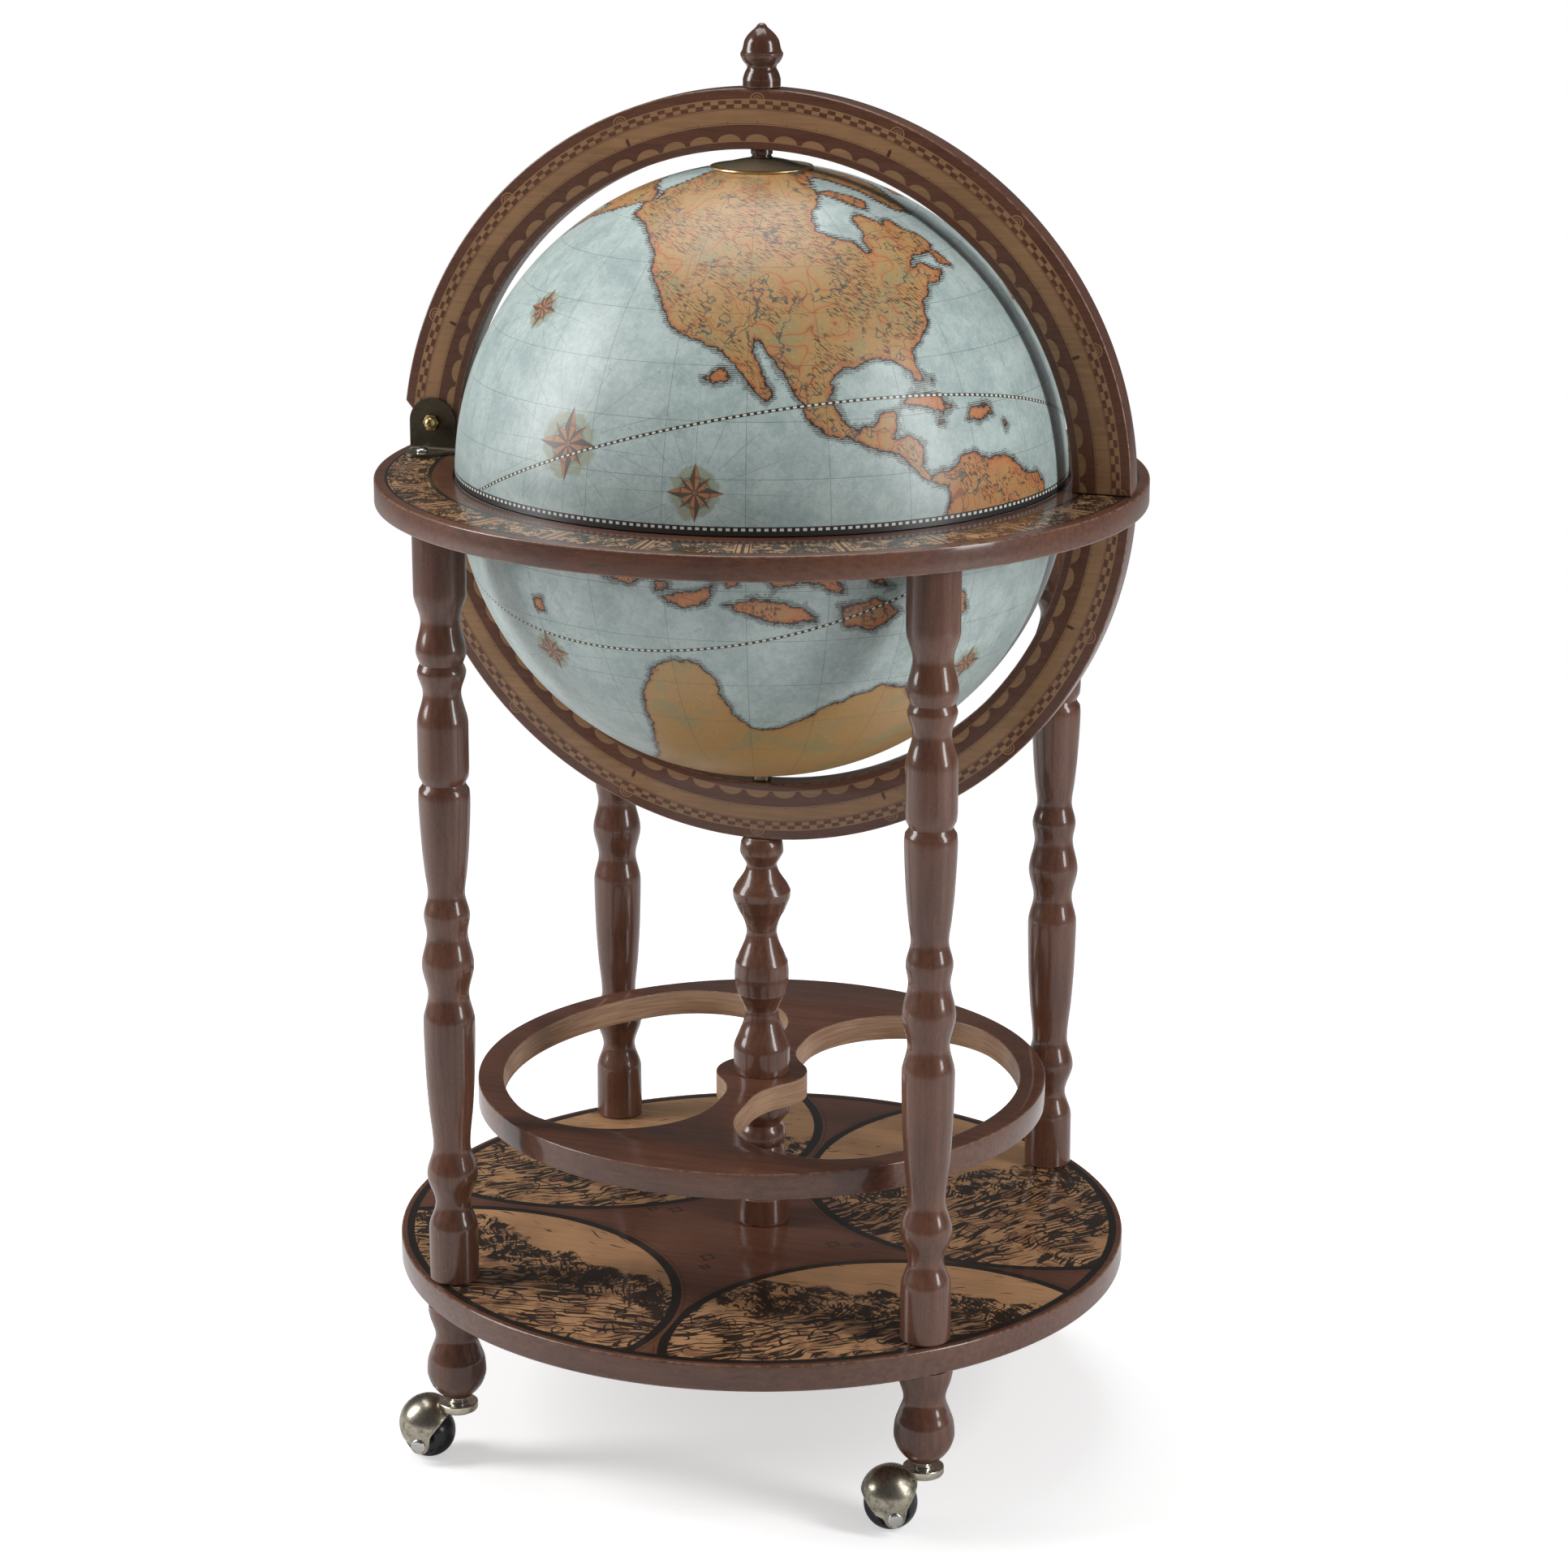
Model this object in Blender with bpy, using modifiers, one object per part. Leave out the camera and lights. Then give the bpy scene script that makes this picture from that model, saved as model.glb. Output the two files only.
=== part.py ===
"""A globe bar: a drinks cabinet shaped as an old terrestrial globe on a turned wooden stand with casters.

Metres, +Z up. The origin is on the floor, under the middle of the globe. The meridian rings lie in the
XZ plane, the lid's hinge is at the -X end, and the stand's four legs are on the diagonals.
The lower half globe is a bowl held in the horizon ring. The upper half globe is the lid: it hangs from the
upper meridian ring, swings up with it about the hinge bolt, and turns on the pole pin.
"""

import math

import bmesh
import bpy
from mathutils import Matrix

# Clearances
SEAT_GAP = 0.0003  # between pieces that rest on or fit in each other
LID_SEAM = 0.0008  # between the rims of the lid and the bowl
BOWL_TO_RING = 0.0015  # the dark line round the globe in the ring's top face

# Facets of round pieces
GLOBE_STEPS = 32
SHELF_STEPS = 32
SHELL_RINGS = 6
LEG_STEPS = 9
COLUMN_STEPS = 10
CAP_STEPS = 16
GLASS_HOLE_STEPS = 10
SMALL_STEPS = 8
CASTER_STEPS = 12
ARC_STEPS = 36
CAP_RINGS = 2
DOME_RINGS = 3
LINE_STEPS = 1
CURVE_STEPS = 2
DIP_STEPS = 3
HEEL_STEPS = 6
BEND_STEPS = 4
EAR_STEPS = 6
NUT_DOME_STEPS = 4
RIM_ARC_STEPS = 9
CORNER_STEPS = 8
FILLET_STEPS = 4
HUB_STEPS = 5
HEXAGON_STEPS = 6

# Globe
GLOBE_RADIUS = 0.200
SHELL_WALL = 0.0028
LID_RIM_HEIGHT = 0.009
LID_RIM_WIDTH = 0.006
POLE_CAP_RADIUS = 0.033
POLE_CAP_THICKNESS = 0.0012
POLE_ROD_RADIUS = 0.003
POLE_COLLAR_RADIUS = 0.007
POLE_NUT_RADIUS = 0.0065
POLE_NUT_HEIGHT = 0.005
NUT_LAND_RADIUS = 0.0075  # the flat round the pole's hole, inside the globe
ROD_IN_FINIAL = 0.012
BOWL_COLLAR_RADIUS = 0.006
BOWL_PIN_DEPTH = 0.012

# Meridian rings
MERIDIAN_TO_GLOBE = 0.010
MERIDIAN_WIDTH = 0.0385
MERIDIAN_THICKNESS = 0.019
FINIAL_HEIGHT = 0.0404
FINIAL_RADIUS = 0.0137

# Horizon ring
RING_MARGIN = 0.004
RING_THICKNESS = 0.016
RING_BEVEL = 0.001
RING_LIP = 0.006  # height of the ring's wider mouth, above the seat of the bowl
DOWEL_RADIUS = 0.004
DOWEL_IN_RING = 0.008
DOWEL_IN_MERIDIAN = 0.012

# Lid hinge
PIN_FROM_EDGE = 0.0221  # from the meridian ring's outer edge in to the hinge bolt
PIN_HEIGHT = 0.0209  # hinge bolt above the horizon ring
PIN_RADIUS = 0.003
HEEL_RADIUS = 0.012
HEEL_CORNER_HEIGHT = 0.0341
HEEL_TURN = 165.0  # where the heel's round side begins, in degrees from +X
BRACKET_WIDTH = 0.0325
BRACKET_THICKNESS = 0.002
BRACKET_PLAY = 0.0005
BRACKET_BEND = 0.004
FLANGE_DEPTH = 0.020
NUT_FLAT_RADIUS = 0.0055
NUT_HEX_HEIGHT = 0.0032
NUT_DOME_RADIUS = 0.0044
BOLT_HEAD_RADIUS = 0.0055
BOLT_HEAD_HEIGHT = 0.003
SCREW_HEAD_RADIUS = 0.0043
SCREW_HEAD_HEIGHT = 0.0024
SCREW_SHANK_RADIUS = 0.0019
SCREW_LENGTH = 0.011
SCREW_FROM_BRACKET = 0.0075
SCREW_OFFSET = 0.0046

# Inside the bowl
TRAY_DEPTH = 0.010
TRAY_THICKNESS = 0.010
WELL_RADIUS = 0.072
GLASS_HOLES = 6
GLASS_HOLE_RADIUS = 0.029
GLASS_CIRCLE_RADIUS = 0.138
BOTTLE_FLOOR_RISE = 0.040  # the floor's top above the lowest point of the bowl
BOTTLE_FLOOR_THICKNESS = 0.006

# Stand
LEG_INSET = 0.0241  # from the horizon ring's edge in to the leg's axis
LEG_HEIGHT = 0.5073
LEG_RADIUS = 0.0171
TENON_RADIUS = 0.006
TENON_HEIGHT = 0.010
STUD_RADIUS = 0.004
STUD_IN_LEG = 0.019
STUD_IN_FOOT = 0.017
BASE_MARGIN = 0.0186  # from the leg's axis out to the base shelf's edge
BASE_THICKNESS = 0.018
FOOT_HEIGHT = 0.066
FOOT_RADIUS = 0.0205

# Column and bottle shelf
LOWER_COLUMN_HEIGHT = 0.090
COLUMN_RADIUS = 0.0195
CENTRE_ROD_RADIUS = 0.004
CENTRE_ROD_IN_MERIDIAN = 0.014
CENTRE_NUT_RADIUS = 0.0075
CENTRE_NUT_HEIGHT = 0.0065
CENTRE_ROD_TAIL = 0.009
SHELF_TO_LEG = 0.0187
SHELF_THICKNESS = 0.0175
SHELF_RIM = 0.0172
HUB_RADIUS = 0.031
WEB_HALF_WIDTH = 0.010
WEB_FILLET = 0.050
DEEP_STRAIGHT = 0.0266  # the web's straight side from its fillet to the deeper corner
WIDE_STRAIGHT = 0.0142  # and to the wider corner

# Casters
WHEEL_RADIUS = 0.0175
HUB_FACE = 0.0135  # from the wheel's centre to its flat sides
HUB_BOSS_RADIUS = 0.0042
AXLE_RADIUS = 0.0022
AXLE_TILT = 9.0  # degrees that the axle dips to one side
CASTER_TRAIL = 0.0212
HOOD_TO_WHEEL = 0.0012
HOOD_WALL = 0.0012
HOOD_RISE = 0.0062  # the dome's centre above the wheel's centre
EAR_RADIUS = 0.0070
RIVET_RADIUS = 0.0048
RIVET_HEIGHT = 0.0019
PLATE_RISE = 0.0187  # underside of the swivel plate above the wheel's centre
PLATE_RADIUS = 0.0133
PLATE_THICKNESS = 0.0060
ARM_WIDTH = 0.014
ARM_DROP = 0.0015
STEM_RADIUS = 0.004
STEM_LENGTH = 0.030
COLLAR_RADIUS = 0.0062
COLLAR_HEIGHT = 0.0045
NECK_RADIUS = 0.0025
STEM_HEAD_RADIUS = 0.0037
STEM_HEAD_HEIGHT = 0.0012

AXIS_MARK_SIZE = 0.03  # the drawn size of a joint's empty

# The way each caster trails at rest, in degrees from +X
CASTER_HEADINGS = {
    "front_left": 179.5,
    "front_right": 205.0,
    "rear_left": 190.0,
    "rear_right": 165.0,
}
LEG_ANGLES = {
    "front_left": 225.0,
    "front_right": 315.0,
    "rear_left": 135.0,
    "rear_right": 45.0,
}

# Turned shapes, from the foot up: share of the height, share of the greatest radius, how the run to it goes
LEG_SHAPE = (
    (0.000, 0.95, "line"),
    (0.071, 0.95, "line"),
    (0.107, 0.67, "fall"),
    (0.146, 0.98, "rise"),
    (0.185, 0.71, "fall"),
    (0.355, 0.99, "swell"),
    (0.391, 0.78, "fall"),
    (0.431, 1.00, "rise"),
    (0.473, 0.78, "fall"),
    (0.497, 0.88, "rise"),
    (0.526, 0.70, "line"),
    (0.654, 0.98, "swell"),
    (0.664, 0.95, "line"),
    (0.672, 0.81, "line"),
    (0.690, 0.96, "line"),
    (0.749, 0.96, "line"),
    (0.790, 0.71, "fall"),
    (0.818, 0.92, "rise"),
    (0.828, 0.81, "line"),
    (0.844, 0.95, "line"),
    (0.883, 0.74, "fall"),
    (0.919, 1.00, "rise"),
    (1.000, 1.00, "line"),
)
FOOT_SHAPE = (
    (0.00, 0.46, "line"),
    (0.06, 0.66, "line"),
    (0.15, 0.86, "line"),
    (0.27, 0.955, "rise"),
    (0.64, 0.67, "fall"),
    (0.88, 0.85, "rise"),
    (1.00, 0.88, "line"),
)
UPPER_COLUMN_SHAPE = (
    (0.000, 0.97, "line"),
    (0.105, 0.98, "line"),
    (0.262, 0.58, "fall"),
    (0.335, 0.83, "rise"),
    (0.345, 0.88, "line"),
    (0.415, 0.94, "line"),
    (0.480, 0.86, "line"),
    (0.595, 0.53, "fall"),
    (0.762, 0.93, "dip"),
    (0.774, 1.00, "line"),
    (0.880, 0.52, "fall"),
    (0.938, 0.75, "rise"),
    (1.000, 0.58, "fall"),
)
LOWER_COLUMN_SHAPE = (
    (0.00, 0.97, "line"),
    (0.20, 0.97, "line"),
    (0.28, 0.66, "line"),
    (0.43, 0.94, "rise"),
    (0.60, 0.72, "fall"),
    (0.68, 0.85, "rise"),
    (0.77, 0.69, "line"),
    (0.86, 0.97, "rise"),
    (1.00, 0.97, "line"),
)
FINIAL_SHAPE = (
    (0.00, 0.88, "line"),
    (0.14, 0.88, "line"),
    (0.19, 0.79, "line"),
    (0.30, 0.68, "line"),
    (0.47, 0.98, "rise"),
    (0.53, 1.00, "line"),
    (0.56, 0.90, "line"),
    (0.70, 0.81, "line"),
    (0.90, 0.30, "fall"),
    (0.95, 0.27, "line"),
    (0.99, 0.17, "line"),
    (1.00, 0.00, "line"),
)
# Steps of each kind of run. A rise or swell starts steeply and levels out, and a fall or dip steepens.
RUN_STEPS = {
    "line": LINE_STEPS,
    "rise": CURVE_STEPS,
    "fall": CURVE_STEPS,
    "dip": DIP_STEPS,
    "swell": CURVE_STEPS,
}
# Heads of small fasteners, from the middle of the top out: share of the radius, share of the height
PAN_HEAD = ((0.0, 1.0), (0.6, 0.85), (1.0, 0.3), (1.0, 0.0))
RIVET_HEAD = ((0.0, 1.0), (0.55, 0.85), (1.0, 0.2), (1.0, 0.0))
BOLT_HEAD = ((0.0, 1.0), (0.7, 1.0), (1.0, 0.5), (1.0, 0.0))
# The underside of the caster's swivel plate: share of the radius, share of the thickness
PLATE_EDGE = ((1.0, 1.0), (1.0, 0.3), (0.85, 0.0))
ARM_TOP = 0.6  # share of the swivel plate's thickness that the arm reaches up
ARM_END = 0.5  # share of the hood's radius that the arm stops short of the wheel's centre
EAR_TURN = (180, 340)  # the round end of the hood's ear, in degrees
NUT_DOME_START = 20  # where the cap nut's round top begins, in degrees from its tip
# The side of the caster's hood above its ear, seen along the axle, in ear radii from the axle
HOOD_SIDE = (
    (1.75, 0.20),
    (4.00, 2.90),
    (4.00, 6.00),
    (-4.00, 6.00),
    (-4.00, 4.90),
    (-1.15, 0.86),
)
# The bracket's flange seen from above: share of the half width, share of the depth
FLANGE_SHAPE = (
    (-1.02, 0.55),
    (-0.75, 0.88),
    (-0.35, 0.98),
    (0.05, 0.88),
    (0.45, 0.60),
    (0.75, 0.25),
)

# Finishes: colour, roughness, metallic
FINISHES = {
    "walnut": ((0.107, 0.052, 0.037), 0.38, 0.0),
    "dark_walnut": ((0.045, 0.022, 0.016), 0.25, 0.0),
    "globe_paper": ((0.47, 0.54, 0.52), 0.45, 0.0),
    "black_edge": ((0.02, 0.02, 0.02), 0.5, 0.0),
    "brass": ((0.55, 0.40, 0.17), 0.3, 1.0),
    "antique_brass": ((0.26, 0.22, 0.13), 0.38, 1.0),
    "steel": ((0.72, 0.72, 0.72), 0.2, 1.0),
    "black_plastic": ((0.015, 0.015, 0.017), 0.25, 0.0),
    "plain_wood": ((0.42, 0.27, 0.16), 0.6, 0.0),
}

# Heights that follow from the sizes above
PLATE_BOTTOM = WHEEL_RADIUS + PLATE_RISE
PLATE_TOP = PLATE_BOTTOM + PLATE_THICKNESS
FOOT_BOTTOM = PLATE_TOP + COLLAR_HEIGHT + SEAT_GAP
BASE_BOTTOM = FOOT_BOTTOM + FOOT_HEIGHT
BASE_TOP = BASE_BOTTOM + BASE_THICKNESS
RING_BOTTOM = BASE_TOP + LEG_HEIGHT
RING_TOP = RING_BOTTOM + RING_THICKNESS
SHELF_BOTTOM = BASE_TOP + LOWER_COLUMN_HEIGHT
SHELF_TOP = SHELF_BOTTOM + SHELF_THICKNESS
GLOBE_CENTRE = RING_TOP

# Radii that follow from the sizes above
MERIDIAN_INNER = GLOBE_RADIUS + MERIDIAN_TO_GLOBE
MERIDIAN_OUTER = MERIDIAN_INNER + MERIDIAN_WIDTH
RING_OUTER = MERIDIAN_OUTER + RING_MARGIN
LEG_CIRCLE = RING_OUTER - LEG_INSET
BASE_RADIUS = LEG_CIRCLE + BASE_MARGIN
SHELF_RADIUS = LEG_CIRCLE - LEG_RADIUS - SHELF_TO_LEG
SHELL_INNER = GLOBE_RADIUS - SHELL_WALL
NUT_LAND = math.sqrt(SHELL_INNER**2 - NUT_LAND_RADIUS**2)
PIN_X = -(MERIDIAN_OUTER - PIN_FROM_EDGE)
PIN_Z = RING_TOP + PIN_HEIGHT
BRACKET_INNER_Y = MERIDIAN_THICKNESS / 2 + BRACKET_PLAY
BRACKET_OUTER_Y = BRACKET_INNER_Y + BRACKET_THICKNESS
HOOD_INNER = WHEEL_RADIUS + HOOD_TO_WHEEL
HOOD_OUTER = HOOD_INNER + HOOD_WALL
HOUSED = 0.5 * HOOD_WALL  # overlap that joins the parts of one casting
BOTTLE_FLOOR_DEPTH = GLOBE_RADIUS - BOTTLE_FLOOR_RISE
OVERRUN = 0.004  # how far a cutter runs past what it cuts


def clear_scene():
    """Remove the objects of the scene that the file opens with."""
    for old in list(bpy.data.objects):
        bpy.data.objects.remove(old)


def new_collection(name):
    collection = bpy.data.collections.new(name)
    bpy.context.scene.collection.children.link(collection)
    return collection


def material(finish):
    """The Principled material of a finish, made once."""
    made = bpy.data.materials.get(finish)
    if made:
        return made
    colour, roughness, metallic = FINISHES[finish]
    made = bpy.data.materials.new(finish)
    made.use_nodes = True
    shader = made.node_tree.nodes["Principled BSDF"]
    shader.inputs["Base Color"].default_value = (*colour, 1.0)
    shader.inputs["Roughness"].default_value = roughness
    shader.inputs["Metallic"].default_value = metallic
    made.diffuse_color = (*colour, 1.0)
    return made


def add_object(name, data, finish, matrix=None):
    """A named piece of the part, in the part's collection."""
    piece = bpy.data.objects.new(name, data)
    PARTS.objects.link(piece)
    if not data.materials:
        data.materials.append(material(finish))
    if matrix:
        piece.matrix_world = matrix
    return piece


def arc(centre, radius, start, end, steps):
    """Points of a circle's arc, between two angles in degrees."""
    points = []
    for step in range(steps + 1):
        angle = math.radians(start + (end - start) * step / steps)
        points.append((centre[0] + radius * math.cos(angle), centre[1] + radius * math.sin(angle)))
    return points


def circle(centre, radius, steps):
    return arc(centre, radius, 0, 360, steps)[:-1]


def turned_side(shape, radius, bottom, top):
    """Points (radius, height) down a turned side that follows a shape's stations."""
    share, size, _ = shape[0]
    points = [(radius * size, bottom + (top - bottom) * share)]
    for (share_0, size_0, _), (share_1, size_1, run) in zip(shape, shape[1:]):
        for step in range(1, RUN_STEPS[run] + 1):
            part = step / RUN_STEPS[run]
            ease = part
            if run in ("rise", "swell"):
                ease = math.sin(math.pi / 2 * part)
            elif run in ("fall", "dip"):
                ease = 1 - math.cos(math.pi / 2 * part)
            height = bottom + (top - bottom) * (share_0 + (share_1 - share_0) * part)
            points.append((radius * (size_0 + (size_1 - size_0) * ease), height))
    return points[::-1]


def turned(name, outline, finish, steps, matrix=None):
    """A piece turned about its own Z axis. The outline's points (radius, height) run down its outer side."""
    shape = bmesh.new()
    points = [shape.verts.new((radius, 0, height)) for radius, height in outline]
    for start, end in zip(points, points[1:]):
        shape.edges.new((start, end))
    if outline[0][0] > 0:
        shape.edges.new((points[-1], points[0]))
    mesh = bpy.data.meshes.new(name)
    shape.to_mesh(mesh)
    shape.free()
    piece = add_object(name, mesh, finish, matrix)
    turn = piece.modifiers.new("turn", "SCREW")
    turn.steps = steps
    turn.render_steps = steps
    turn.use_merge_vertices = True
    turn.merge_threshold = 0.00001
    turn.use_normal_calculate = False
    turn.use_smooth_shade = True
    return piece


def flat(name, loops, thickness, finish, matrix):
    """A piece cut from a board. Its outline and holes lie in its own XY plane, centred on the thickness."""
    curve = bpy.data.curves.new(name, "CURVE")
    curve.dimensions = "2D"
    curve.fill_mode = "BOTH"
    curve.extrude = thickness / 2
    for loop in loops:
        spline = curve.splines.new("POLY")
        spline.points.add(len(loop) - 1)
        for point, (across, along) in zip(spline.points, loop):
            point.co = (across, along, 0, 1)
        spline.use_cyclic_u = True
    return add_object(name, curve, finish, matrix)


def baked(piece):
    """The piece with its modifiers, as a plain mesh whose caps are welded to its sides."""
    bpy.context.view_layer.update()
    graph = bpy.context.evaluated_depsgraph_get()
    mesh = bpy.data.meshes.new_from_object(piece.evaluated_get(graph))
    shape = bmesh.new()
    shape.from_mesh(mesh)
    bmesh.ops.remove_doubles(shape, verts=shape.verts, dist=0.000001)
    bmesh.ops.recalc_face_normals(shape, faces=shape.faces)
    shape.to_mesh(mesh)
    shape.free()
    return mesh


def as_mesh(piece, finish):
    """Replace a curve piece by a mesh piece of the same name and place, so that it can be cut."""
    mesh = baked(piece)
    name = piece.name
    matrix = piece.matrix_world.copy()
    bpy.data.objects.remove(piece)
    mesh.name = name
    mesh.materials.clear()
    return add_object(name, mesh, finish, matrix)


def cylinder_mesh(name, places, steps=SMALL_STEPS):
    """One mesh of separate cylinders, each given as (matrix, radius, length) with its foot at the matrix."""
    shape = bmesh.new()
    first_corner_at_x = Matrix.Rotation(math.radians(-90), 4, "Z")
    for matrix, radius, length in places:
        bmesh.ops.create_cone(
            shape,
            cap_ends=True,
            segments=steps,
            radius1=radius,
            radius2=radius,
            depth=length,
            matrix=matrix @ Matrix.Translation((0, 0, length / 2)) @ first_corner_at_x,
        )
    mesh = bpy.data.meshes.new(name)
    shape.to_mesh(mesh)
    shape.free()
    return mesh


def combine(piece, other, operation):
    """Add the other object to the piece, keep what they share, or cut it away."""
    if other.name in PARTS.objects:
        PARTS.objects.unlink(other)
        CUTTERS.objects.link(other)
    other.hide_render = True
    other.display_type = "WIRE"
    change = piece.modifiers.new(operation.lower(), "BOOLEAN")
    change.operation = operation
    change.solver = "EXACT"
    change.object = other


def drill(piece, places, steps=SMALL_STEPS):
    """Cut round holes, each given as (matrix, radius, length)."""
    name = piece.name + "_holes"
    cutter = bpy.data.objects.new(name, cylinder_mesh(name, places, steps))
    CUTTERS.objects.link(cutter)
    combine(piece, cutter, "DIFFERENCE")


def at(x, y, z):
    return Matrix.Translation((x, y, z))


def around(x, y, angle, radius):
    """A point on a circle, as (x, y)."""
    turn = math.radians(angle)
    return x + radius * math.cos(turn), y + radius * math.sin(turn)


def rod(name, bottom, radius, length, finish):
    """A plain rod along Z."""
    return add_object(name, cylinder_mesh(name, [(Matrix(), radius, length)]), finish, bottom)


def hex_nut(name, radius, height, rod_radius, bottom):
    """A six-sided nut on the globe's vertical axis, with its bore clear of the rod."""
    loops = [circle((0, 0), radius, HEXAGON_STEPS), circle((0, 0), rod_radius + SEAT_GAP, SMALL_STEPS)]
    return flat(name, loops, height, "steel", at(0, 0, bottom + height / 2))


def head(shape, radius, height, seat):
    """Points (radius, height) from the middle of a fastener's head out and down to its seat."""
    return [(radius * across, seat + height * up) for across, up in shape]


def joint_empty(name, matrix):
    """An empty on a joint's axis, which carries the pieces that the joint moves."""
    empty = bpy.data.objects.new(name, None)
    empty.empty_display_size = AXIS_MARK_SIZE
    PARTS.objects.link(empty)
    empty.matrix_world = matrix
    return empty


def carry(empty, frame, pieces):
    """Parent the pieces to an empty whose place in the world is the frame, and leave them where they are."""
    for piece in pieces:
        piece.parent = empty
        piece.matrix_parent_inverse = frame.inverted()


def shell_arc(radius, start, end):
    """Points (radius, height) on the globe, between two angles from the north pole in degrees."""
    points = []
    for step in range(SHELL_RINGS + 1):
        angle = math.radians(start + (end - start) * step / SHELL_RINGS)
        points.append((radius * math.sin(angle), radius * math.cos(angle)))
    return points


def pole_angle(radius, across):
    return math.degrees(math.asin(across / radius))


def shell_side(radius, hole):
    """Points (radius, height) down one side of the half globe's shell, from its pole's hole to its rim."""
    rim = math.degrees(math.acos(LID_SEAM / 2 / radius))
    return shell_arc(radius, pole_angle(radius, hole), rim)


def room_inside(height):
    """The greatest radius of a disc that fits in the shell at a height above or below its rim."""
    side = shell_side(SHELL_INNER, NUT_LAND_RADIUS)
    for (across_0, height_0), (across_1, height_1) in zip(side, side[1:]):
        if height_1 <= height <= height_0:
            share = (height_0 - height) / (height_0 - height_1)
            return across_0 + (across_1 - across_0) * share - SEAT_GAP


def half_globe(name, upper):
    """Half of the globe's shell, with a hole for the pin at its pole and a flat for the nut inside."""
    hole = POLE_ROD_RADIUS + SEAT_GAP
    inner = [(hole, NUT_LAND)] + shell_side(SHELL_INNER, NUT_LAND_RADIUS)
    outline = shell_side(GLOBE_RADIUS, hole) + inner[::-1]
    if not upper:
        outline = [(across, -height) for across, height in outline[::-1]]
    return turned(name, outline, "globe_paper", GLOBE_STEPS, at(0, 0, GLOBE_CENTRE))


def pole_cap():
    """The thin round brass plate on the lid's pole."""
    under = GLOBE_RADIUS + SEAT_GAP
    top = under + POLE_CAP_THICKNESS
    hole = POLE_ROD_RADIUS + SEAT_GAP
    upper_side = []
    lower_side = []
    for step in range(CAP_RINGS + 1):
        across = hole + (POLE_CAP_RADIUS - hole) * step / CAP_RINGS
        upper_side.append((across, math.sqrt(top**2 - across**2)))
        lower_side.append((across, math.sqrt(under**2 - across**2)))
    return turned("pole_cap", upper_side + lower_side[::-1], "brass", CAP_STEPS, at(0, 0, GLOBE_CENTRE))


def lid_rim():
    """The stiffening ring inside the lid's mouth."""
    top = LID_SEAM / 2 + LID_RIM_HEIGHT
    outer = room_inside(top)
    inner = outer - LID_RIM_WIDTH
    bottom = LID_SEAM / 2
    outline = [(inner, top), (outer, top), (outer, bottom), (inner, bottom)]
    return turned("lid_rim", outline, "black_edge", GLOBE_STEPS, at(0, 0, GLOBE_CENTRE))


def pole_fittings():
    """The rod that joins the lid, the upper meridian ring and the finial, and the nut inside the lid."""
    collar_bottom = GLOBE_RADIUS + POLE_CAP_THICKNESS + 2 * SEAT_GAP
    collar_top = MERIDIAN_INNER - SEAT_GAP
    nut_top = NUT_LAND - SEAT_GAP
    nut_bottom = nut_top - POLE_NUT_HEIGHT
    tail = nut_bottom - POLE_NUT_HEIGHT / 4
    top = MERIDIAN_OUTER + ROD_IN_FINIAL
    outline = [
        (0, top),
        (POLE_ROD_RADIUS, top),
        (POLE_ROD_RADIUS, collar_top),
        (POLE_COLLAR_RADIUS, collar_top),
        (POLE_COLLAR_RADIUS, collar_bottom),
        (POLE_ROD_RADIUS, collar_bottom),
        (POLE_ROD_RADIUS, tail),
        (0, tail),
    ]
    pin = turned("pole_pin", outline, "antique_brass", SMALL_STEPS, at(0, 0, GLOBE_CENTRE))
    nut = hex_nut("pole_nut", POLE_NUT_RADIUS, POLE_NUT_HEIGHT, POLE_ROD_RADIUS, GLOBE_CENTRE + nut_bottom)
    return [pin, nut]


def bowl_fittings():
    """The pin and nut that hold the bowl on the lower meridian ring."""
    collar_top = -(GLOBE_RADIUS + SEAT_GAP)
    collar_bottom = -(MERIDIAN_INNER - SEAT_GAP)
    nut_bottom = -(NUT_LAND - SEAT_GAP)
    nut_top = nut_bottom + POLE_NUT_HEIGHT
    tip = nut_top + POLE_NUT_HEIGHT / 4
    tail = collar_bottom - BOWL_PIN_DEPTH
    outline = [
        (0, tip),
        (POLE_ROD_RADIUS, tip),
        (POLE_ROD_RADIUS, collar_top),
        (BOWL_COLLAR_RADIUS, collar_top),
        (BOWL_COLLAR_RADIUS, collar_bottom),
        (POLE_ROD_RADIUS, collar_bottom),
        (POLE_ROD_RADIUS, tail),
        (0, tail),
    ]
    turned("bowl_pin", outline, "antique_brass", SMALL_STEPS, at(0, 0, GLOBE_CENTRE))
    hex_nut("bowl_nut", POLE_NUT_RADIUS, POLE_NUT_HEIGHT, POLE_ROD_RADIUS, GLOBE_CENTRE + nut_bottom)


def upright(x, z):
    """The frame of a board that stands in the XZ plane: its own X and Y are the world's X and Z."""
    return at(x, 0, z) @ Matrix.Rotation(math.radians(90), 4, "X")


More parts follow.
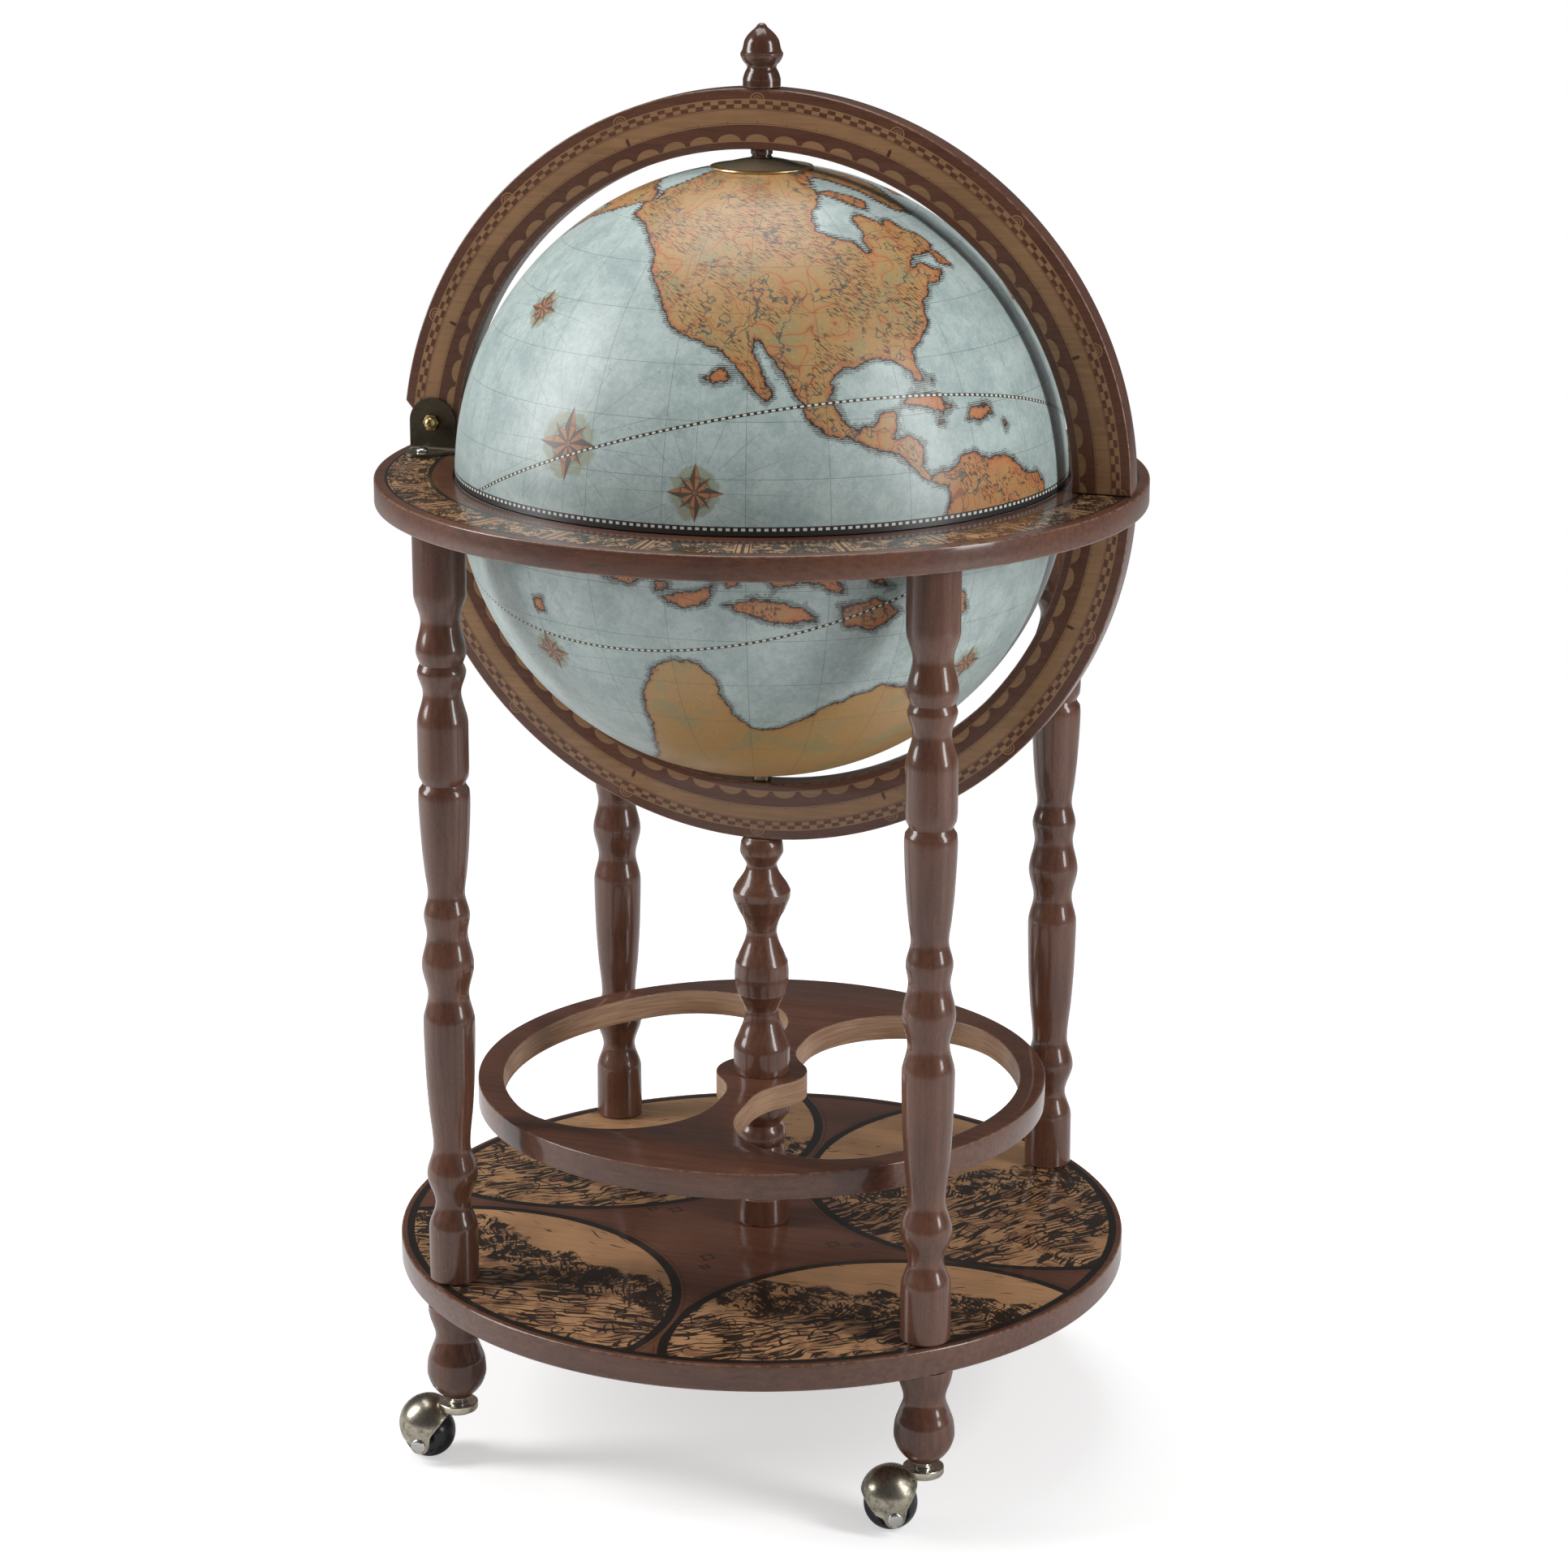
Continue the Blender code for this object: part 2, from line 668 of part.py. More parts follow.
def upper_meridian():
    """The half ring that carries the lid: one end stands on the horizon ring, the other turns on the bolt."""
    foot = SEAT_GAP
    outer_start = pole_angle(MERIDIAN_OUTER, foot)
    outer_end = 180 - pole_angle(MERIDIAN_OUTER, HEEL_CORNER_HEIGHT)
    heel_bottom = PIN_HEIGHT - HEEL_RADIUS
    inner_start = 180 - pole_angle(MERIDIAN_INNER, heel_bottom)
    inner_end = pole_angle(MERIDIAN_INNER, foot)
    pin = (PIN_X, PIN_HEIGHT)
    outline = arc((0, 0), MERIDIAN_OUTER, outer_start, outer_end, ARC_STEPS)
    outline += arc(pin, HEEL_RADIUS, HEEL_TURN, 270, HEEL_STEPS)
    outline += arc((0, 0), MERIDIAN_INNER, inner_start, inner_end, ARC_STEPS)
    bolt_hole = circle(pin, PIN_RADIUS + SEAT_GAP, SMALL_STEPS)
    board = flat(
        "upper_meridian", [outline, bolt_hole], MERIDIAN_THICKNESS, "walnut", upright(0, GLOBE_CENTRE)
    )
    board = as_mesh(board, "walnut")
    hole_bottom = GLOBE_CENTRE + MERIDIAN_INNER - OVERRUN
    drill(board, [(at(0, 0, hole_bottom), POLE_ROD_RADIUS + SEAT_GAP, MERIDIAN_WIDTH + 2 * OVERRUN)])
    return board


def dowel_places():
    """The two places, as x, where dowels join the lower meridian ring to the horizon ring."""
    middle = (MERIDIAN_INNER + MERIDIAN_OUTER) / 2
    return {"left": -middle, "right": middle}


def lower_meridian():
    """The fixed half ring under the bowl, from one side of the horizon ring to the other."""
    top = RING_THICKNESS + SEAT_GAP
    outer = pole_angle(MERIDIAN_OUTER, top)
    inner = pole_angle(MERIDIAN_INNER, top)
    outline = arc((0, 0), MERIDIAN_OUTER, -outer, -180 + outer, ARC_STEPS)
    outline += arc((0, 0), MERIDIAN_INNER, -180 + inner, -inner, ARC_STEPS)
    board = flat("lower_meridian", [outline], MERIDIAN_THICKNESS, "walnut", upright(0, GLOBE_CENTRE))
    board = as_mesh(board, "walnut")
    pin_depth = BOWL_PIN_DEPTH + SEAT_GAP
    pin_bottom = GLOBE_CENTRE - MERIDIAN_INNER - pin_depth
    rod_depth = CENTRE_ROD_IN_MERIDIAN + SEAT_GAP
    rod_bottom = GLOBE_CENTRE - MERIDIAN_OUTER - OVERRUN
    holes = [
        (at(0, 0, pin_bottom), POLE_ROD_RADIUS + SEAT_GAP, pin_depth + OVERRUN),
        (at(0, 0, rod_bottom), CENTRE_ROD_RADIUS + SEAT_GAP, rod_depth + OVERRUN),
    ]
    dowel_depth = DOWEL_IN_MERIDIAN + SEAT_GAP
    for x in dowel_places().values():
        holes.append((at(x, 0, RING_BOTTOM - dowel_depth), DOWEL_RADIUS + SEAT_GAP, dowel_depth + OVERRUN))
    drill(board, holes)
    for side, x in dowel_places().items():
        bottom = at(x, 0, RING_BOTTOM - DOWEL_IN_MERIDIAN)
        rod("meridian_dowel_" + side, bottom, DOWEL_RADIUS, DOWEL_IN_MERIDIAN + DOWEL_IN_RING, "plain_wood")


def finial():
    """The turned acorn on top of the upper meridian ring, screwed onto the end of the pole rod."""
    bottom = SEAT_GAP
    bore = POLE_ROD_RADIUS + SEAT_GAP
    bore_top = bottom + ROD_IN_FINIAL
    outline = turned_side(FINIAL_SHAPE, FINIAL_RADIUS, bottom, FINIAL_HEIGHT)
    outline += [(bore, bottom), (bore, bore_top), (0, bore_top)]
    return turned("finial", outline, "dark_walnut", LEG_STEPS, at(0, 0, GLOBE_CENTRE + MERIDIAN_OUTER))


def screw_place(side):
    """Where a bracket's screw enters the horizon ring, as (x, y). The side is -1 in front and 1 behind."""
    return PIN_X - SCREW_OFFSET, side * (BRACKET_OUTER_Y + SCREW_FROM_BRACKET)


def leg_place(corner):
    return around(0, 0, LEG_ANGLES[corner], LEG_CIRCLE)


def horizon_ring():
    """The flat wooden ring that holds the bowl and stands on the four legs."""
    mouth = GLOBE_RADIUS + BOWL_TO_RING
    seat = GLOBE_RADIUS + SEAT_GAP
    outline = [
        (mouth, 0),
        (RING_OUTER - RING_BEVEL, 0),
        (RING_OUTER, -RING_BEVEL),
        (RING_OUTER, -RING_THICKNESS),
        (seat, -RING_THICKNESS),
        (seat, -RING_LIP),
        (mouth, -RING_LIP),
    ]
    ring = turned("horizon_ring", outline, "walnut", GLOBE_STEPS, at(0, 0, RING_TOP))
    sockets = []
    for corner in LEG_ANGLES:
        x, y = leg_place(corner)
        depth = TENON_HEIGHT + SEAT_GAP
        sockets.append((at(x, y, RING_BOTTOM - OVERRUN), TENON_RADIUS + SEAT_GAP, depth + OVERRUN))
    drill(ring, sockets, LEG_STEPS)
    holes = []
    for x in dowel_places().values():
        depth = DOWEL_IN_RING + SEAT_GAP
        holes.append((at(x, 0, RING_BOTTOM - OVERRUN), DOWEL_RADIUS + SEAT_GAP, depth + OVERRUN))
    for side in (-1, 1):
        x, y = screw_place(side)
        depth = SCREW_LENGTH + SEAT_GAP
        holes.append((at(x, y, RING_TOP - depth), SCREW_SHANK_RADIUS + SEAT_GAP, depth + OVERRUN))
    drill(ring, holes)


def hinge_bracket(name, side):
    """A bent brass plate beside the meridian ring's heel, with its flange screwed down on the horizon ring."""
    bottom = RING_TOP + SEAT_GAP
    top = PIN_Z + BRACKET_WIDTH
    corner = BRACKET_INNER_Y + BRACKET_BEND
    end = corner + FLANGE_DEPTH
    inner_bend = BRACKET_BEND - BRACKET_THICKNESS
    bend_centre = (corner, bottom + BRACKET_BEND)
    section = [(BRACKET_INNER_Y, top)]
    section += arc(bend_centre, BRACKET_BEND, 180, 270, BEND_STEPS)
    section += [(end, bottom), (end, bottom + BRACKET_THICKNESS)]
    section += arc(bend_centre, inner_bend, 270, 180, BEND_STEPS)
    section += [(BRACKET_OUTER_Y, top)]
    section = [(side * across, height) for across, height in section]
    lengthwise = at(PIN_X, 0, 0) @ Matrix.Rotation(math.radians(90), 4, "Z")
    lengthwise = lengthwise @ Matrix.Rotation(math.radians(90), 4, "X")
    blank = flat(name, [section], BRACKET_WIDTH + 2 * OVERRUN, "antique_brass", lengthwise)
    plate = as_mesh(blank, "antique_brass")

    half = BRACKET_WIDTH / 2
    front_view = arc((PIN_X, PIN_Z), half, 0, 180, SMALL_STEPS)
    front_view += [(PIN_X - half, bottom - OVERRUN), (PIN_X + half, bottom - OVERRUN)]
    front_limit = flat(name + "_front", [front_view], 4 * end, "antique_brass", upright(0, 0))
    combine(plate, as_mesh(front_limit, "antique_brass"), "INTERSECT")

    side_line = half + OVERRUN
    tongue = [(-side_line, 0), (-side_line, BRACKET_OUTER_Y)]
    for share, away in FLANGE_SHAPE:
        tongue.append((share * half, BRACKET_OUTER_Y + away * FLANGE_DEPTH))
    tongue += [(side_line, BRACKET_OUTER_Y), (side_line, 0)]
    top_view = [(PIN_X + across, side * away) for across, away in tongue]
    top_limit = flat(name + "_top", [top_view], 4 * BRACKET_WIDTH, "antique_brass", at(0, 0, PIN_Z))
    combine(plate, as_mesh(top_limit, "antique_brass"), "INTERSECT")

    screw_x, screw_y = screw_place(side)
    drill(
        plate,
        [
            (at(PIN_X, end, PIN_Z) @ toward_front(), PIN_RADIUS + SEAT_GAP, 2 * end),
            (at(screw_x, screw_y, RING_TOP - OVERRUN), SCREW_SHANK_RADIUS + SEAT_GAP, 4 * OVERRUN),
        ],
    )


def toward_front():
    """The frame whose own Z points to the front, along the world's -Y."""
    return Matrix.Rotation(math.radians(90), 4, "X")


def hinge_hardware():
    """The bolt through both brackets and the meridian ring's heel, its domed nut and the bracket screws."""
    seat = BRACKET_OUTER_Y + SEAT_GAP
    bolt_end = seat + NUT_HEX_HEIGHT
    bolt_head = head(BOLT_HEAD, BOLT_HEAD_RADIUS, BOLT_HEAD_HEIGHT, seat)
    outline = [(0, bolt_end), (PIN_RADIUS, bolt_end), (PIN_RADIUS, -seat)]
    outline += [(radius, -height) for radius, height in bolt_head[::-1]]
    frame = at(PIN_X, 0, PIN_Z) @ toward_front()
    turned("hinge_bolt", outline, "brass", SMALL_STEPS, frame)

    hexagon = circle((0, 0), NUT_FLAT_RADIUS, HEXAGON_STEPS)
    hex_middle = seat + NUT_HEX_HEIGHT / 2
    nut = flat("hinge_cap_nut", [hexagon], NUT_HEX_HEIGHT, "brass", frame @ at(0, 0, hex_middle))
    nut = as_mesh(nut, "brass")
    dome_foot = NUT_HEX_HEIGHT / 2 - SEAT_GAP
    side = arc((0, 0), NUT_DOME_RADIUS, NUT_DOME_START, 90, NUT_DOME_STEPS)
    dome = [(0, dome_foot + NUT_DOME_RADIUS)]
    dome += [(radius, dome_foot + height) for height, radius in side]
    dome += [(0, dome_foot)]
    cap = turned("hinge_cap_nut_dome", dome, "brass", SMALL_STEPS, frame @ at(0, 0, hex_middle))
    combine(nut, cap, "UNION")
    bore = [(frame, PIN_RADIUS + SEAT_GAP, bolt_end + SEAT_GAP)]
    drill(nut, bore)

    flange_top = RING_TOP + 2 * SEAT_GAP + BRACKET_THICKNESS
    for name, side in (("bracket_screw_front", -1), ("bracket_screw_rear", 1)):
        x, y = screw_place(side)
        tip = RING_TOP - SCREW_LENGTH - flange_top
        outline = head(PAN_HEAD, SCREW_HEAD_RADIUS, SCREW_HEAD_HEIGHT, 0)
        outline += [
            (SCREW_SHANK_RADIUS, 0),
            (SCREW_SHANK_RADIUS, tip + SCREW_SHANK_RADIUS),
            (0, tip),
        ]
        turned(name, outline, "steel", SMALL_STEPS, at(x, y, flange_top))


def glass_tray():
    """The round board under the lid, with a well for bottles and a ring of holes for glasses."""
    depth = TRAY_DEPTH + TRAY_THICKNESS
    loops = [circle((0, 0), room_inside(depth), GLOBE_STEPS), circle((0, 0), WELL_RADIUS, CAP_STEPS)]
    for count in range(GLASS_HOLES):
        centre = around(0, 0, 360 * (count + 0.5) / GLASS_HOLES, GLASS_CIRCLE_RADIUS)
        loops.append(circle(centre, GLASS_HOLE_RADIUS, GLASS_HOLE_STEPS))
    middle = GLOBE_CENTRE - depth + TRAY_THICKNESS / 2
    flat("glass_tray", loops, TRAY_THICKNESS, "plain_wood", at(0, 0, middle))


def bottle_floor():
    """The board low in the bowl that the bottles stand on."""
    depth = BOTTLE_FLOOR_DEPTH + BOTTLE_FLOOR_THICKNESS
    middle = GLOBE_CENTRE - depth + BOTTLE_FLOOR_THICKNESS / 2
    loops = [circle((0, 0), room_inside(depth), GLOBE_STEPS)]
    flat("bottle_floor", loops, BOTTLE_FLOOR_THICKNESS, "plain_wood", at(0, 0, middle))


def leg(corner):
    """A turned leg, with a tenon into the horizon ring and a bore for the stud at its foot."""
    bottom = SEAT_GAP
    top = LEG_HEIGHT - SEAT_GAP
    bore = STUD_RADIUS + SEAT_GAP
    bore_top = STUD_IN_LEG + SEAT_GAP
    tenon_top = LEG_HEIGHT + TENON_HEIGHT
    outline = [(0, tenon_top), (TENON_RADIUS, tenon_top), (TENON_RADIUS, top)]
    outline += turned_side(LEG_SHAPE, LEG_RADIUS, bottom, top)
    outline += [(bore, bottom), (bore, bore_top), (0, bore_top)]
    x, y = leg_place(corner)
    turned("leg_" + corner, outline, "walnut", LEG_STEPS, at(x, y, BASE_TOP))


def foot(corner):
    """A turned foot under the base shelf, with the stud's bore above and the caster's socket below."""
    top = FOOT_HEIGHT - SEAT_GAP
    stud_bore = STUD_RADIUS + SEAT_GAP
    stud_bottom = FOOT_HEIGHT - STUD_IN_FOOT - SEAT_GAP
    socket = STEM_RADIUS + SEAT_GAP
    socket_top = STEM_LENGTH + SEAT_GAP
    outline = [(0, stud_bottom), (stud_bore, stud_bottom), (stud_bore, top)]
    outline += turned_side(FOOT_SHAPE, FOOT_RADIUS, 0, top)
    outline += [(socket, 0), (socket, socket_top), (0, socket_top)]
    x, y = leg_place(corner)
    turned("foot_" + corner, outline, "walnut", LEG_STEPS, at(x, y, FOOT_BOTTOM))


def stud(corner):
    """The stud that joins a foot to its leg through the base shelf."""
    x, y = leg_place(corner)
    bottom = BASE_BOTTOM - STUD_IN_FOOT
    length = STUD_IN_FOOT + BASE_THICKNESS + STUD_IN_LEG
    rod("leg_stud_" + corner, at(x, y, bottom), STUD_RADIUS, length, "steel")


def base_shelf():
    """The round lower shelf between the legs and the feet."""
    loops = [circle((0, 0), BASE_RADIUS, SHELF_STEPS)]
    loops.append(circle((0, 0), CENTRE_ROD_RADIUS + SEAT_GAP, SMALL_STEPS))
    for corner in LEG_ANGLES:
        loops.append(circle(leg_place(corner), STUD_RADIUS + SEAT_GAP, SMALL_STEPS))
    flat("base_shelf", loops, BASE_THICKNESS, "walnut", at(0, 0, BASE_TOP - BASE_THICKNESS / 2))


def corner_radius(rim, height):
    """The radius of a corner that touches both the shelf's rim and the web's side, with its centre at a height."""
    return (rim**2 - WEB_HALF_WIDTH**2 - height**2) / (2 * (rim + WEB_HALF_WIDTH))


def shelf_opening():
    """The outline of the bottle shelf's right-hand opening, made of arcs that run on into each other."""
    rim = SHELF_RADIUS - SHELF_RIM
    fillet_x = WEB_HALF_WIDTH + WEB_FILLET
    fillet_y = math.sqrt((HUB_RADIUS + WEB_FILLET) ** 2 - fillet_x**2)
    hub_angle = math.degrees(math.atan2(fillet_y, fillet_x))
    wide_y = fillet_y + WIDE_STRAIGHT
    wide_radius = corner_radius(rim, wide_y)
    wide_x = WEB_HALF_WIDTH + wide_radius
    wide_angle = math.degrees(math.atan2(wide_y, wide_x))
    deep_y = fillet_y + DEEP_STRAIGHT
    deep_radius = corner_radius(rim, deep_y)
    deep_x = WEB_HALF_WIDTH + deep_radius
    deep_angle = math.degrees(math.atan2(deep_y, deep_x))
    outline = arc((0, 0), rim, -deep_angle, wide_angle, RIM_ARC_STEPS)
    outline += arc((wide_x, wide_y), wide_radius, wide_angle, 180, CORNER_STEPS)[1:]
    outline += arc((fillet_x, fillet_y), WEB_FILLET, 180, 180 + hub_angle, FILLET_STEPS)
    outline += arc((0, 0), HUB_RADIUS, hub_angle, -hub_angle, HUB_STEPS)[1:]
    outline += arc((fillet_x, -fillet_y), WEB_FILLET, 180 - hub_angle, 180, FILLET_STEPS)[1:]
    outline += arc((deep_x, -deep_y), deep_radius, 180, 360 - deep_angle, CORNER_STEPS)[:-1]
    return outline


def bottle_shelf():
    """The middle shelf: a rim, a hub round the column and a swelling web, with an opening on each side."""
    opening = shelf_opening()
    loops = [circle((0, 0), SHELF_RADIUS, SHELF_STEPS)]
    loops.append(opening)
    loops.append([(-across, -along) for across, along in opening])
    loops.append(circle((0, 0), CENTRE_ROD_RADIUS + SEAT_GAP, SMALL_STEPS))
    flat("bottle_shelf", loops, SHELF_THICKNESS, "walnut", at(0, 0, SHELF_TOP - SHELF_THICKNESS / 2))


def column(name, shape, bottom, top):
    """A turned length of the centre column, bored for the rod."""
    bore = CENTRE_ROD_RADIUS + SEAT_GAP
    height = top - bottom
    outline = [(bore, height)]
    outline += turned_side(shape, COLUMN_RADIUS, 0, height)
    outline += [(bore, 0)]
    turned(name, outline, "walnut", COLUMN_STEPS, at(0, 0, bottom))


def centre_column():
    """Both lengths of the column, and the rod and nut that draw the stand together."""
    meridian_bottom = GLOBE_CENTRE - MERIDIAN_OUTER
    column("column_lower", LOWER_COLUMN_SHAPE, BASE_TOP + SEAT_GAP, SHELF_BOTTOM - SEAT_GAP)
    column("column_upper", UPPER_COLUMN_SHAPE, SHELF_TOP + SEAT_GAP, meridian_bottom - SEAT_GAP)
    rod_bottom = BASE_BOTTOM - CENTRE_ROD_TAIL
    length = meridian_bottom + CENTRE_ROD_IN_MERIDIAN - rod_bottom
    rod("centre_rod", at(0, 0, rod_bottom), CENTRE_ROD_RADIUS, length, "steel")
    nut_bottom = BASE_BOTTOM - SEAT_GAP - CENTRE_NUT_HEIGHT
    hex_nut("centre_nut", CENTRE_NUT_RADIUS, CENTRE_NUT_HEIGHT, CENTRE_ROD_RADIUS, nut_bottom)


def bullet(radius, foot_height):
    """The outline of a round-topped plug about the hood's axis."""
    dome = arc((0, HOOD_RISE), radius, 90, 0, DOME_RINGS)
    return [(0, HOOD_RISE + radius)] + dome[1:] + [(radius, foot_height), (0, foot_height)]


def tilt():
    """The turn from the caster's upright frame to the frame of its tilted axle, about the trail's direction."""
    return Matrix.Rotation(math.radians(-AXLE_TILT), 4, "X")


def hood_mesh():
    """The caster's hood, arm and swivel plate in one piece. The wheel's centre is its origin and +X its trail."""
    below = -2 * HOOD_OUTER
    hood = turned("hood", bullet(HOOD_OUTER, below), "antique_brass", CASTER_STEPS, tilt())

    ears = arc((0, 0), EAR_RADIUS, *EAR_TURN, EAR_STEPS)
    ears += [(across * EAR_RADIUS, up * EAR_RADIUS) for across, up in HOOD_SIDE]
    keep = flat("hood_ears", [ears], 4 * HOOD_OUTER, "antique_brass", tilt() @ toward_front())
    combine(hood, as_mesh(keep, "antique_brass"), "INTERSECT")

    plate_outline = [(0, PLATE_RISE + PLATE_THICKNESS)]
    plate_outline += head(PLATE_EDGE, PLATE_RADIUS, PLATE_THICKNESS, PLATE_RISE)
    plate_outline += [(0, PLATE_RISE)]
    swivel = at(-CASTER_TRAIL, 0, 0)
    plate = turned("hood_plate", plate_outline, "antique_brass", CASTER_STEPS, swivel)
    combine(hood, plate, "UNION")

    arm_end = -ARM_END * HOOD_OUTER
    arm_top = PLATE_RISE + ARM_TOP * PLATE_THICKNESS
    arm = [
        (-CASTER_TRAIL, arm_top),
        (-CASTER_TRAIL, PLATE_RISE + HOUSED),
        (-HOOD_OUTER, PLATE_RISE - ARM_DROP),
        (arm_end, PLATE_RISE - ARM_DROP),
        (arm_end, arm_top),
    ]
    web = flat("hood_arm", [arm], ARM_WIDTH, "antique_brass", toward_front())
    combine(hood, as_mesh(web, "antique_brass"), "UNION")

    inside = turned("hood_inside", bullet(HOOD_INNER, below - OVERRUN), "antique_brass", CASTER_STEPS, tilt())
    combine(hood, inside, "DIFFERENCE")

    head_room = STEM_HEAD_RADIUS + 2 * SEAT_GAP
    axle_frame = tilt() @ toward_front() @ at(0, 0, -2 * HOOD_OUTER)
    drill(
        hood,
        [
            (swivel @ at(0, 0, PLATE_RISE - PLATE_THICKNESS), head_room, PLATE_THICKNESS),
            (axle_frame, AXLE_RADIUS + SEAT_GAP, 4 * HOOD_OUTER),
        ],
    )
    neck_hole = bpy.data.objects.new(
        "hood_neck_hole",
        cylinder_mesh("hood_neck_hole", [(swivel, NECK_RADIUS + SEAT_GAP, 2 * PLATE_RISE)]),
    )
    CUTTERS.objects.link(neck_hole)
    combine(hood, neck_hole, "DIFFERENCE")
    mesh = baked(hood)
    mesh.transform(hood.matrix_world)
    bpy.data.objects.remove(hood)
    for cutter in list(CUTTERS.objects):
        if cutter.name.startswith("hood"):
            bpy.data.objects.remove(cutter)
    return mesh


def wheel_outline():
    """The truncated ball of a wheel, bored for its axle, with a boss on each flat side."""
    bore = AXLE_RADIUS + SEAT_GAP
    boss_end = HOOD_INNER - HUB_BOSS_RADIUS * math.tan(math.pi / CASTER_STEPS) - SEAT_GAP
    face_angle = math.degrees(math.asin(HUB_FACE / WHEEL_RADIUS))
    angles = (face_angle, AXLE_TILT, 0, -AXLE_TILT, -face_angle)
    ball = [arc((0, 0), WHEEL_RADIUS, angle, angle, 1)[0] for angle in angles]
    outline = [(bore, boss_end), (HUB_BOSS_RADIUS, boss_end), (HUB_BOSS_RADIUS, HUB_FACE)]
    outline += ball
    outline += [(HUB_BOSS_RADIUS, -HUB_FACE), (HUB_BOSS_RADIUS, -boss_end), (bore, -boss_end)]
    return outline


def axle_outline():
    """The axle, with a domed rivet head outside each ear of the hood."""
    seat = HOOD_OUTER + SEAT_GAP
    upper = head(RIVET_HEAD, RIVET_RADIUS, RIVET_HEIGHT, seat) + [(AXLE_RADIUS, seat)]
    return upper + [(radius, -height) for radius, height in upper[::-1]]


def stem_outline():
    """The caster's stem from the wheel's centre height up: head, neck, collar and the shank in the foot."""
    head_top = PLATE_RISE - SEAT_GAP
    collar_bottom = PLATE_RISE + PLATE_THICKNESS + SEAT_GAP
    collar_top = PLATE_RISE + PLATE_THICKNESS + COLLAR_HEIGHT
    top = collar_top + STEM_LENGTH
    return [
        (0, top),
        (STEM_RADIUS, top),
        (STEM_RADIUS, collar_top),
        (COLLAR_RADIUS, collar_top),
        (COLLAR_RADIUS, collar_bottom),
        (NECK_RADIUS, collar_bottom),
        (NECK_RADIUS, head_top),
        (STEM_HEAD_RADIUS, head_top),
        (STEM_HEAD_RADIUS, head_top - STEM_HEAD_HEIGHT),
        (0, head_top - STEM_HEAD_HEIGHT),
    ]


def caster(corner, hood):
    """One hooded ball caster. The hood swivels about the stem, and the ball turns on the tilted axle."""
    x, y = leg_place(corner)
    swivel_frame = at(x, y, WHEEL_RADIUS)
    turned("caster_stem_" + corner, stem_outline(), "steel", SMALL_STEPS, swivel_frame)
    heading = Matrix.Rotation(math.radians(CASTER_HEADINGS[corner]), 4, "Z")
    wheel_frame = swivel_frame @ heading @ at(CASTER_TRAIL, 0, 0)
    axle_frame = wheel_frame @ tilt() @ Matrix.Rotation(math.radians(-90), 4, "X")
    cover = add_object("caster_hood_" + corner, hood, "antique_brass", wheel_frame)
    axle = turned("caster_axle_" + corner, axle_outline(), "steel", SMALL_STEPS, axle_frame)
    wheel = turned("caster_wheel_" + corner, wheel_outline(), "black_plastic", CASTER_STEPS, axle_frame)
    swivel = joint_empty("swivel_axis_" + corner, swivel_frame)
    spin = joint_empty("wheel_axis_" + corner, wheel_frame)
    carry(swivel, swivel_frame, [cover, axle, spin])
    carry(spin, wheel_frame, [wheel])


def lid():
    """The upper half globe and all that swings up with it."""
    hinge_frame = at(PIN_X, 0, PIN_Z)
    spin_frame = at(0, 0, GLOBE_CENTRE)
    hinge = joint_empty("lid_hinge_axis", hinge_frame)
    spin = joint_empty("globe_spin_axis", spin_frame)
    swung = [upper_meridian(), finial()] + pole_fittings()
    spun = [half_globe("upper_hemisphere", True), lid_rim(), pole_cap()]
    carry(hinge, hinge_frame, swung + [spin])
    carry(spin, spin_frame, spun)


clear_scene()
PARTS = new_collection("globe_bar")
CUTTERS = new_collection("cutters")

horizon_ring()
half_globe("lower_hemisphere", False)
lower_meridian()
bowl_fittings()
glass_tray()
bottle_floor()
lid()
hinge_bracket("hinge_bracket_front", -1)
hinge_bracket("hinge_bracket_rear", 1)
hinge_hardware()
centre_column()
bottle_shelf()
base_shelf()
hood_shape = hood_mesh()
for place in LEG_ANGLES:
    leg(place)
    foot(place)
    stud(place)
    caster(place, hood_shape)
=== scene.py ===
"""Looks of a globe bar: a drinks cabinet in the shape of an old globe on a turned walnut stand.

Every piece is made over its solid in the frame, in metres. The globe's centre is on the Z axis, level with
the top of the horizon ring, and the lid, its globe, the casters and their wheels ride their own bodies.
"""

import math

import bmesh
import bpy
import numpy as np
from mathutils import Matrix, Vector


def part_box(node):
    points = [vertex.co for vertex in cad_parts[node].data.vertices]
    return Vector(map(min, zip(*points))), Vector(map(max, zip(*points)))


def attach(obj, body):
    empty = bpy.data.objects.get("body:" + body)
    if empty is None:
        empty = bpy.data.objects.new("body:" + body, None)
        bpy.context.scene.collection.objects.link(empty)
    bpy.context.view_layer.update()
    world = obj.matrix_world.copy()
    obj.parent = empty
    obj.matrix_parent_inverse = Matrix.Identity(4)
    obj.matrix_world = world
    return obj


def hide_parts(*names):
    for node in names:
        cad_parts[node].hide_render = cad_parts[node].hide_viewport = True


bl_info = {
    "name": "Globe Bar",
    "version": (1, 0, 0),
    "blender": (4, 5, 0),
    "location": "3D View > Sidebar > Globe Bar",
    "description": "Finishes a globe bar: turned stand, printed shelves, antique map and ball casters",
    "category": "Object",
}

